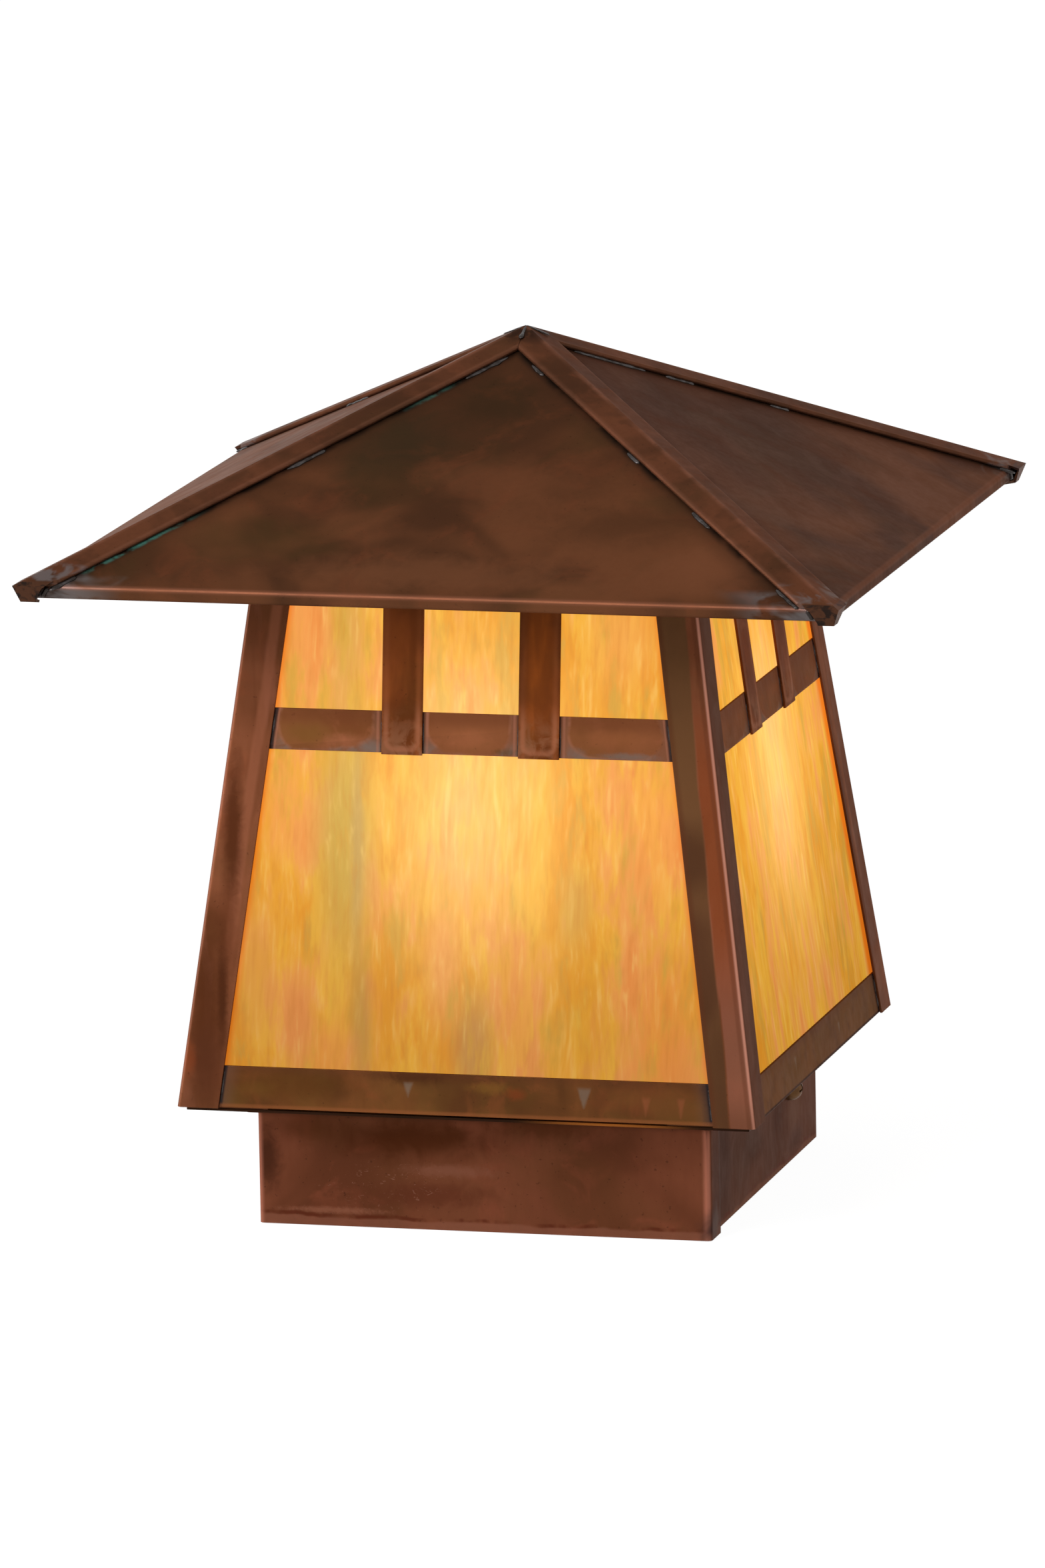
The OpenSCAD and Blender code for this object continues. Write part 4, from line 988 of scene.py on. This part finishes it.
def spin(outline, place=(0, 0, 0), axis="Z", segments=64, thread=None, ring=False):
    """Spins (radius, height) pairs. In a ring, the last pair is joined to the first."""
    points, faces = [], []
    for radius, height in outline:
        for step in range(segments):
            angle = 2 * math.pi * step / segments
            r = radius + (thread(angle, height) if thread and radius > 0 else 0)
            spun = Vector((r * math.cos(angle), r * math.sin(angle), height))
            points.append(TURNS[axis] @ spun + Vector(place))
    last = len(outline) - 1
    for row in range(last + ring):
        here, above = row * segments, (row + 1) % len(outline) * segments
        for step in range(segments):
            after = (step + 1) % segments
            faces.append((here + step, here + after, above + after, above + step))
    for row in () if ring else (0, last):
        if outline[row][0] > 0:
            end = [row * segments + step for step in range(segments)]
            faces.append(end[::-1] if row == 0 else end)
    return points, faces


def from_base(base, *pairs):
    """Radii and heights in mm above a base, as an outline in metres."""
    return [(r * MM, base + z * MM) for r, z in pairs]


def rows(low, high, step):
    count = max(1, round((high - low) / step))
    return [low + (high - low) * i / count for i in range(count + 1)]


def helix(pitch, depth, low, high, fade, sharp=1.0):
    """A thread that stands `depth` inside the outline between two heights."""
    def cut(angle, height):
        phase = (height / pitch - angle / (2 * math.pi)) % 1
        wave = (0.5 - 0.5 * math.cos(2 * math.pi * phase)) ** sharp
        grow = min(1, max(0, (height - low) / fade)) * min(1, max(0, (high - height) / fade))
        return -depth * (1 - wave) * grow
    return cut


print("a spun disc of 8 sides has", len(spin([(1, 0), (1, 1)], segments=8)[1]), "faces")

# %% The bulb's cap
PITCH, FADE = 3.63 * MM, 1.5 * MM
bulb_low, bulb_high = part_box("bulb_glass")
cap_low, cap_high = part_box("bulb_cap")
shell_low, shell_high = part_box("socket_shell")
cap_z, cap_r, cap_tall = cap_low.z, cap_high.x / MM, (cap_high.z - cap_low.z) / MM
outline = from_base(
    cap_z, (4.9, 1.9), (5.3, 2.2), *((5.3 + (cap_r - 6.6) * t, 2.2 + 3.4 * t)
                                     for t in (0.25, 0.5, 0.75, 1)),
    (cap_r - 0.5, 6), (cap_r - 0.1, 6.4),
    *((cap_r - 0.05, z) for z in rows(6.8, cap_tall - 0.1, 0.3)),
    (cap_r - 0.45, cap_tall - 0.05), (cap_r - 0.5, 20))
cap_thread = helix(PITCH, 0.85 * MM, cap_z + 6.4 * MM, cap_z + 21.5 * MM, FADE)
new_piece("bulb_screw_cap", *spin(outline, thread=cap_thread), brass, "bulb", "lamp_brass",
          ["bulb_cap"], sharp=50)
new_piece("bulb_insulator", *spin(from_base(
    cap_z, (0, 0.7), (2, 0.8), (4, 1.1), (7.2, 2.9), (11, 5), (10.6, 5.4), (0, 5.4))),
    black_glass, "bulb", "lamp_brass", sharp=35)
new_piece("bulb_contact_tip", *spin(from_base(
    cap_z, (0, 0), (1.6, 0.05), (2.8, 0.3), (3.5, 0.8), (3.6, 1.2), (0, 1.2)), segments=40),
    bright_solder, "bulb", "lamp_brass")
print("cap", round(cap_r, 2), "mm in radius and", round(cap_tall, 2), "mm tall")

# %% The bulb's glass and the holder's shell
def bulb_profile(shrink=0.0):
    """Outline of the bulb from its neck to its crown, as (radius, height)."""
    r = (bulb_high.x - bulb_low.x) / 2 + 0.02 * MM - shrink
    centre = bulb_high.z - r - shrink
    neck_r = 12.2 * MM - shrink
    meet = math.radians(35)
    join_at = Vector((r * math.cos(meet), centre - r * math.sin(meet)))
    along = Vector((math.sin(meet), math.cos(meet)))
    low_at = Vector((neck_r, bulb_low.z + 4 * MM))
    control = [low_at, low_at + Vector((0, 12 * MM)), join_at - 8 * MM * along, join_at]
    outline = [(neck_r, bulb_low.z)]
    for t in (step / 24 for step in range(25)):
        outline.append(sum((share * (1 - t) ** (3 - i) * t ** i * control[i]
                            for i, share in enumerate((1, 3, 3, 1))), Vector((0, 0)))[:])
    for i in range(1, 36):
        angle = -meet + (math.pi / 2 + meet) * i / 36
        outline.append((r * math.cos(angle), centre + r * math.sin(angle)))
    return outline + [(0, centre + r)]


GLASS_THICK, SHELL_IN, SHELL_THICK = 0.7 * MM, 13.3 * MM, 0.26 * MM
envelope = new_piece("bulb_envelope", *spin(bulb_profile() + bulb_profile(GLASS_THICK)[::-1],
                                            segments=72, ring=True),
                     frosted.material, "bulb", "frosted_bulb", ["bulb_glass"], sharp=35)
shell_rows = rows(shell_low.z, shell_high.z, 0.35 * MM)
shell_thread = helix(PITCH, -0.38 * MM, shell_low.z + 2 * MM, shell_high.z - MM, FADE)
outline = ([(SHELL_IN, z) for z in shell_rows]
           + [(SHELL_IN + SHELL_THICK, z) for z in shell_rows[::-1]])
shell = new_piece("threaded_shell", *spin(outline, thread=shell_thread, ring=True), brass,
                  "base", "lamp_brass", ["socket_shell"], sharp=50)
print("bulb and shell with", len(envelope.data.polygons), "and", len(shell.data.polygons), "faces")

# %% [markdown]
# ## Screws
#
# The post screws are round-head wood screws with a cross recess, and their heads
# stand as high as the photograph shows. The holder's two screws are slotted pan
# heads with a nut below the bracket. A recess is cut with a boolean modifier, which
# is then applied, so that what is stored is a plain closed mesh.

# %% Cutting a recess, and a round head
def cut_away(thing, centre, size, turn):
    """Cuts a turned box out of a piece and keeps the result as its mesh."""
    points = [turn @ Vector((x * size[0] / 2, y * size[1] / 2, z * size[2] / 2)) + Vector(centre)
              for x in (-1, 1) for y in (-1, 1) for z in (-1, 1)]
    faces = [(0, 1, 3, 2), (4, 6, 7, 5), (0, 4, 5, 1), (2, 3, 7, 6), (0, 2, 6, 4), (1, 5, 7, 3)]
    tool = add_object("cutter", closed_mesh("cutter", points, faces))
    step = thing.modifiers.new("cut", "BOOLEAN")
    step.operation, step.object, step.solver = "DIFFERENCE", tool, "EXACT"
    bpy.context.view_layer.update()
    made = bpy.data.meshes.new_from_object(
        thing.evaluated_get(bpy.context.evaluated_depsgraph_get()))
    thing.modifiers.remove(step)
    thing.data = made
    bpy.data.objects.remove(tool)
    smooth_by_angle(thing, 40)


def dome_rows(radius, height, steps=10):
    """Outline of a dome from its rim to its top."""
    ball = (height * height + radius * radius) / (2 * height)
    low = math.acos((ball - height) / ball)
    return [(ball * math.sin(angle), height - ball + ball * math.cos(angle))
            for angle in (low * (1 - i / steps) for i in range(steps + 1))]


print("a dome of 2 steps", [(round(r, 2), round(z, 2)) for r, z in dome_rows(1, 0.5, 2)])

# %% Wood screws
SCREW_Z, SCREW_Y = 25 * MM, 35 * MM
HEAD_R, HEAD_H = 3.9 * MM, 4.4 * MM
LONG, POINT_LONG, SHANK_R = 25.4 * MM, 5 * MM, 2.1 * MM
outline = [(0, -LONG)]
outline += [(SHANK_R * (0.15 + 0.85 * (z + LONG) / POINT_LONG), z)
            for z in rows(-LONG + 0.15 * MM, -LONG + POINT_LONG, 0.2 * MM)]
outline += [(SHANK_R, z) for z in rows(-LONG + POINT_LONG + 0.2 * MM, -0.02 * MM, 0.2 * MM)]
outline += [(HEAD_R, 0), (HEAD_R, 0.15 * MM)] + dome_rows(HEAD_R, HEAD_H)[1:]
worm = helix(1.9 * MM, 0.55 * MM, -LONG - MM, -4 * MM, 1.2 * MM, 2.5)


def screw_thread(angle, height):
    """The worm, which fades out over the point and leaves the neck plain."""
    if height >= -2 * MM:
        return 0
    return worm(angle, height) * min(1, max(0.0, (height + LONG) / POINT_LONG))


for word, side, axis in (("right", 1, "X"), ("left", -1, "-X")):
    place = Vector((side * COLLAR_HALF, side * SCREW_Y, SCREW_Z))
    screw = new_piece("wood_screw_" + word, *spin(outline, place, axis, 40, screw_thread),
                      screw_copper, "screw_" + word, "base_copper", ["post_screw_" + word])
    for turn in (0.35, 0.35 + math.pi / 2):
        cut_away(screw, place + Vector((side * HEAD_H, 0, 0)), (2.6 * MM, 4 * MM, 0.75 * MM),
                 Matrix.Rotation(turn, 3, "X"))
    print(screw.name, len(screw.data.polygons), "faces")

# %% Holder screws and nuts
HOLDER_X, PAN_R, PAN_H = 24 * MM, 3.6 * MM, 2.4 * MM
bolt_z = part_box("socket_screws")[0].z
bracket_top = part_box("socket_bracket")[1].z
ear_top, nut_z = bracket_top + 5 * MM, bracket_top - 3.6 * MM
outline = from_base(bolt_z, (0, 0), (1.7, 0), (2, 0.3))
outline += [(2 * MM, z) for z in rows(bolt_z + 0.5 * MM, ear_top - 0.02 * MM, 0.25 * MM)]
outline += [(PAN_R, ear_top), (PAN_R, ear_top + 0.4 * MM)]
outline += [(r, z + ear_top) for r, z in dome_rows(PAN_R, PAN_H)[2:]]
worm = helix(0.7 * MM, 0.22 * MM, bolt_z, ear_top - 2 * MM, 0.6 * MM)
nut = from_base(nut_z, (2.05, 0), (3.4, 0), (3.8, 0.3), (3.8, 2.35), (2.05, 2.35))
for side, word in ((-1, "left"), (1, "right")):
    place = (side * HOLDER_X, 0, 0)
    screw = new_piece("holder_screw_" + word, *spin(outline, place, segments=36, thread=worm),
                      zinc, "base", "zinc_steel", ["socket_screws"])
    cut_away(screw, (side * HOLDER_X, 0, ear_top + PAN_H), (8 * MM, MM, 2.2 * MM),
             Matrix.Rotation(0.5 + side * 0.4, 3, "Z"))
    new_piece("holder_nut_" + word, *spin(nut, place, segments=6, ring=True), zinc, "base",
              "zinc_steel", smooth=False)
print("holder screws made")

# %% [markdown]
# ## Solder
#
# The lantern is held together by soft solder. Most of it sits inside, but some shows
# outside: black drops at the eaves' corners and the roof's peak, short lumps along
# the hip seams, and thin fillets where the rails meet the posts. A solder run is a
# tube along a line, flattened against the sheet and swelling and shrinking as it
# goes, because no two drops are alike. The random numbers are seeded, so each run of
# this script gives the same drops.

# %% A run of solder
BEAD_STEP, BEAD_SIDES, LOOK_AHEAD = 0.5 * MM, 10, 0.4 * MM


def solder_run(name, path, away, width, height, seed, slot="frame_copper", lumpy=0.8,
               body="lantern"):
    """A flattened, uneven bead along a path, its width and height in mm."""
    phase = random.Random(seed).random() * 50
    path, away = [Vector(p) for p in path], Vector(away).normalized()
    lengths = [0.0]
    for a, b in zip(path, path[1:]):
        lengths.append(lengths[-1] + (b - a).length)
    total = lengths[-1]

    def at(distance):
        i = next((i for i in range(len(path) - 1) if distance <= lengths[i + 1]), len(path) - 2)
        share = (distance - lengths[i]) / max(1e-9, lengths[i + 1] - lengths[i])
        return path[i].lerp(path[i + 1], share)

    def lump(*place):
        return noise.noise(Vector(place))

    count, points = max(6, int(total / BEAD_STEP)), []
    for ring in range(count + 1):
        share = ring / count
        here = share * total
        middle = at(here)
        ahead = at(min(total, here + LOOK_AHEAD)) - at(max(0, here - LOOK_AHEAD))
        across = ahead.normalized().cross(away).normalized()
        taper = math.sqrt(max(0.0, 1 - (2 * share - 1) ** 6)) * 0.98 + 0.02
        swell = (1 + lumpy * lump(phase, here * 320, 0)) * taper
        for step in range(BEAD_SIDES):
            angle = 2 * math.pi * step / BEAD_SIDES
            size = swell * (1 + 0.25 * lumpy * lump(phase + angle, here * 500, 3))
            points.append(middle + across * math.cos(angle) * width * MM / 2 * size
                          + away * math.sin(angle) * height * MM * size)
    faces = []
    for ring in range(count):
        for step in range(BEAD_SIDES):
            a, b = ring * BEAD_SIDES + step, ring * BEAD_SIDES + (step + 1) % BEAD_SIDES
            faces.append((a, b, b + BEAD_SIDES, a + BEAD_SIDES))
    faces.append(list(range(BEAD_SIDES))[::-1])
    faces.append([count * BEAD_SIDES + step for step in range(BEAD_SIDES)])
    return new_piece(name, points, faces, solder, body, slot)


print("a bead has", BEAD_SIDES, "sides and a ring each", BEAD_STEP / MM, "mm")

# %% Lumps along the hips
CAP_SIDE, SEAM_START, SEAM_SHORT = 7.5 * MM, 4 * MM, 6 * MM
hip_out, hip_side = Vector((1, -1, 0)).normalized(), Vector((1, 1, 0)).normalized()


def seam_point(t, corner_number, left):
    """A point of a hip seam: t is 0 at the peak and 1 at the eave."""
    flat = (hip_out * (SEAM_START + t * (ROOF_HALF * math.sqrt(2) - SEAM_SHORT))
            + hip_side * (-CAP_SIDE if left else CAP_SIDE))
    flat.z = PEAK_Z - max(abs(flat.x), abs(flat.y)) * RISE + 0.1 * MM
    return turned(flat, corner_number)


SEAM_LUMPS = {
    (3, False): ((0.42, 0.50), (0.04, 0.13), (0.93, 0.985)),
    (0, True): ((0.07, 0.11), (0.40, 0.44), (0.62, 0.68), (0.90, 0.97)),
    (0, False): ((0.93, 0.98),),
    (1, True): ((0.05, 0.20), (0.24, 0.30), (0.46, 0.50), (0.95, 0.985)),
    (1, False): ((0.10, 0.18), (0.55, 0.60), (0.93, 0.98)),
    (2, True): ((0.30, 0.37), (0.70, 0.74)),
    (2, False): ((0.04, 0.10), (0.48, 0.56), (0.94, 0.98)),
    (3, True): ((0.20, 0.25), (0.60, 0.68), (0.94, 0.98)),
}
panel_normal = Vector((0, -math.sin(ROOF_ANGLE), math.cos(ROOF_ANGLE)))
made = 0
for (corner_number, left), lumps in SEAM_LUMPS.items():
    for low, high in lumps:
        solder_run("hip_solder_%d" % made,
                   [seam_point(low + (high - low) * i / 5, corner_number, left) for i in range(6)],
                   turned(panel_normal, corner_number + (not left)), 2.0, 0.45, 100 + made,
                   "roof_copper", 0.6)
        made += 1
print(made, "lumps along the hips")

# %% Peak, eave corners, rail joints and the collar's lap
peak_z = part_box("hip_cap_front_right")[1].z
for side in range(4):
    start, end = (turned((x * MM, 0, peak_z - down * MM), side)
                  for x, down in ((0.2, 0.12), (7.5, 2.85)))
    solder_run("peak_solder_%d" % side, [start, start.lerp(end, 0.5), end], (0, 0, 1), 1.3, 0.28,
               300 + side, "roof_copper", 0.7)
for side, hand in ((side, hand) for side in range(4) for hand in (0, 1)):
    path = [Vector((ROOF_HALF - in_by * MM, -ROOF_HALF - 0.25 * MM, EAVE_Z - down * MM))
            for in_by, down in ((7.6, 0.4), (6.6, 1.8), (5.7, 3.4))]
    if hand:
        path = [Vector((-p.y, -p.x, p.z)) for p in path]
    solder_run("eave_solder_%d%s" % (side, "ab"[hand]), [turned(p, side) for p in path],
               turned((1, 0, 0) if hand else (0, -1, 0), side), 1.7, 0.5, 320 + side * 2 + hand,
               "roof_copper", 0.7)


def face_joint(name, side, low, high, width, height, seed):
    """A thin fillet between two (x, z) points on the outer faces of a side's rails."""
    path = [turned(Vector((x, -half_at(z), z)) - FACE_OUT * (SHEET + 0.05 * MM), side)
            for x, z in (low, high)]
    solder_run(name, path, turned(FACE_OUT, side), width, height, seed)


for side in range(4):
    for z_low, z_high, word in ((MID_LOW, MID_HIGH, "mid"), (rail_low.z, rail_high.z, "low")):
        for hand, letter in ((-1, "l"), (1, "r")):
            ends = [(hand * (half_at(z) - LEG_WIDTH - 0.25 * MM), z)
                    for z in (z_low + 1.5 * MM, z_high - 1.5 * MM)]
            face_joint("%s_joint_%d%s" % (word, side, letter), side, *ends, 0.55, 0.22,
                       400 + side * 10 + hand)
    for index, x in enumerate((-BAR_OUT, -BAR_IN, BAR_IN, BAR_OUT)):
        x += 0.2 * MM * (1 if index in (1, 3) else -1)
        face_joint("bar_joint_%d%d" % (side, index), side, (x, MID_LOW + 1.2 * MM),
                   (x, MID_HIGH - 3 * MM), 0.45, 0.18, 500 + side * 10 + index)
lap_y = -COLLAR_HALF + 12.15 * MM
solder_run("collar_lap_solder",
           [(COLLAR_HALF + 0.1 * MM, lap_y, z * MM) for z in (3, 9, 16, 24, 33)], (1, 0, 0), 0.9,
           0.3, 600, "base_copper", body="base")
print("joints and lap soldered")

# %% [markdown]
# ## Finish
#
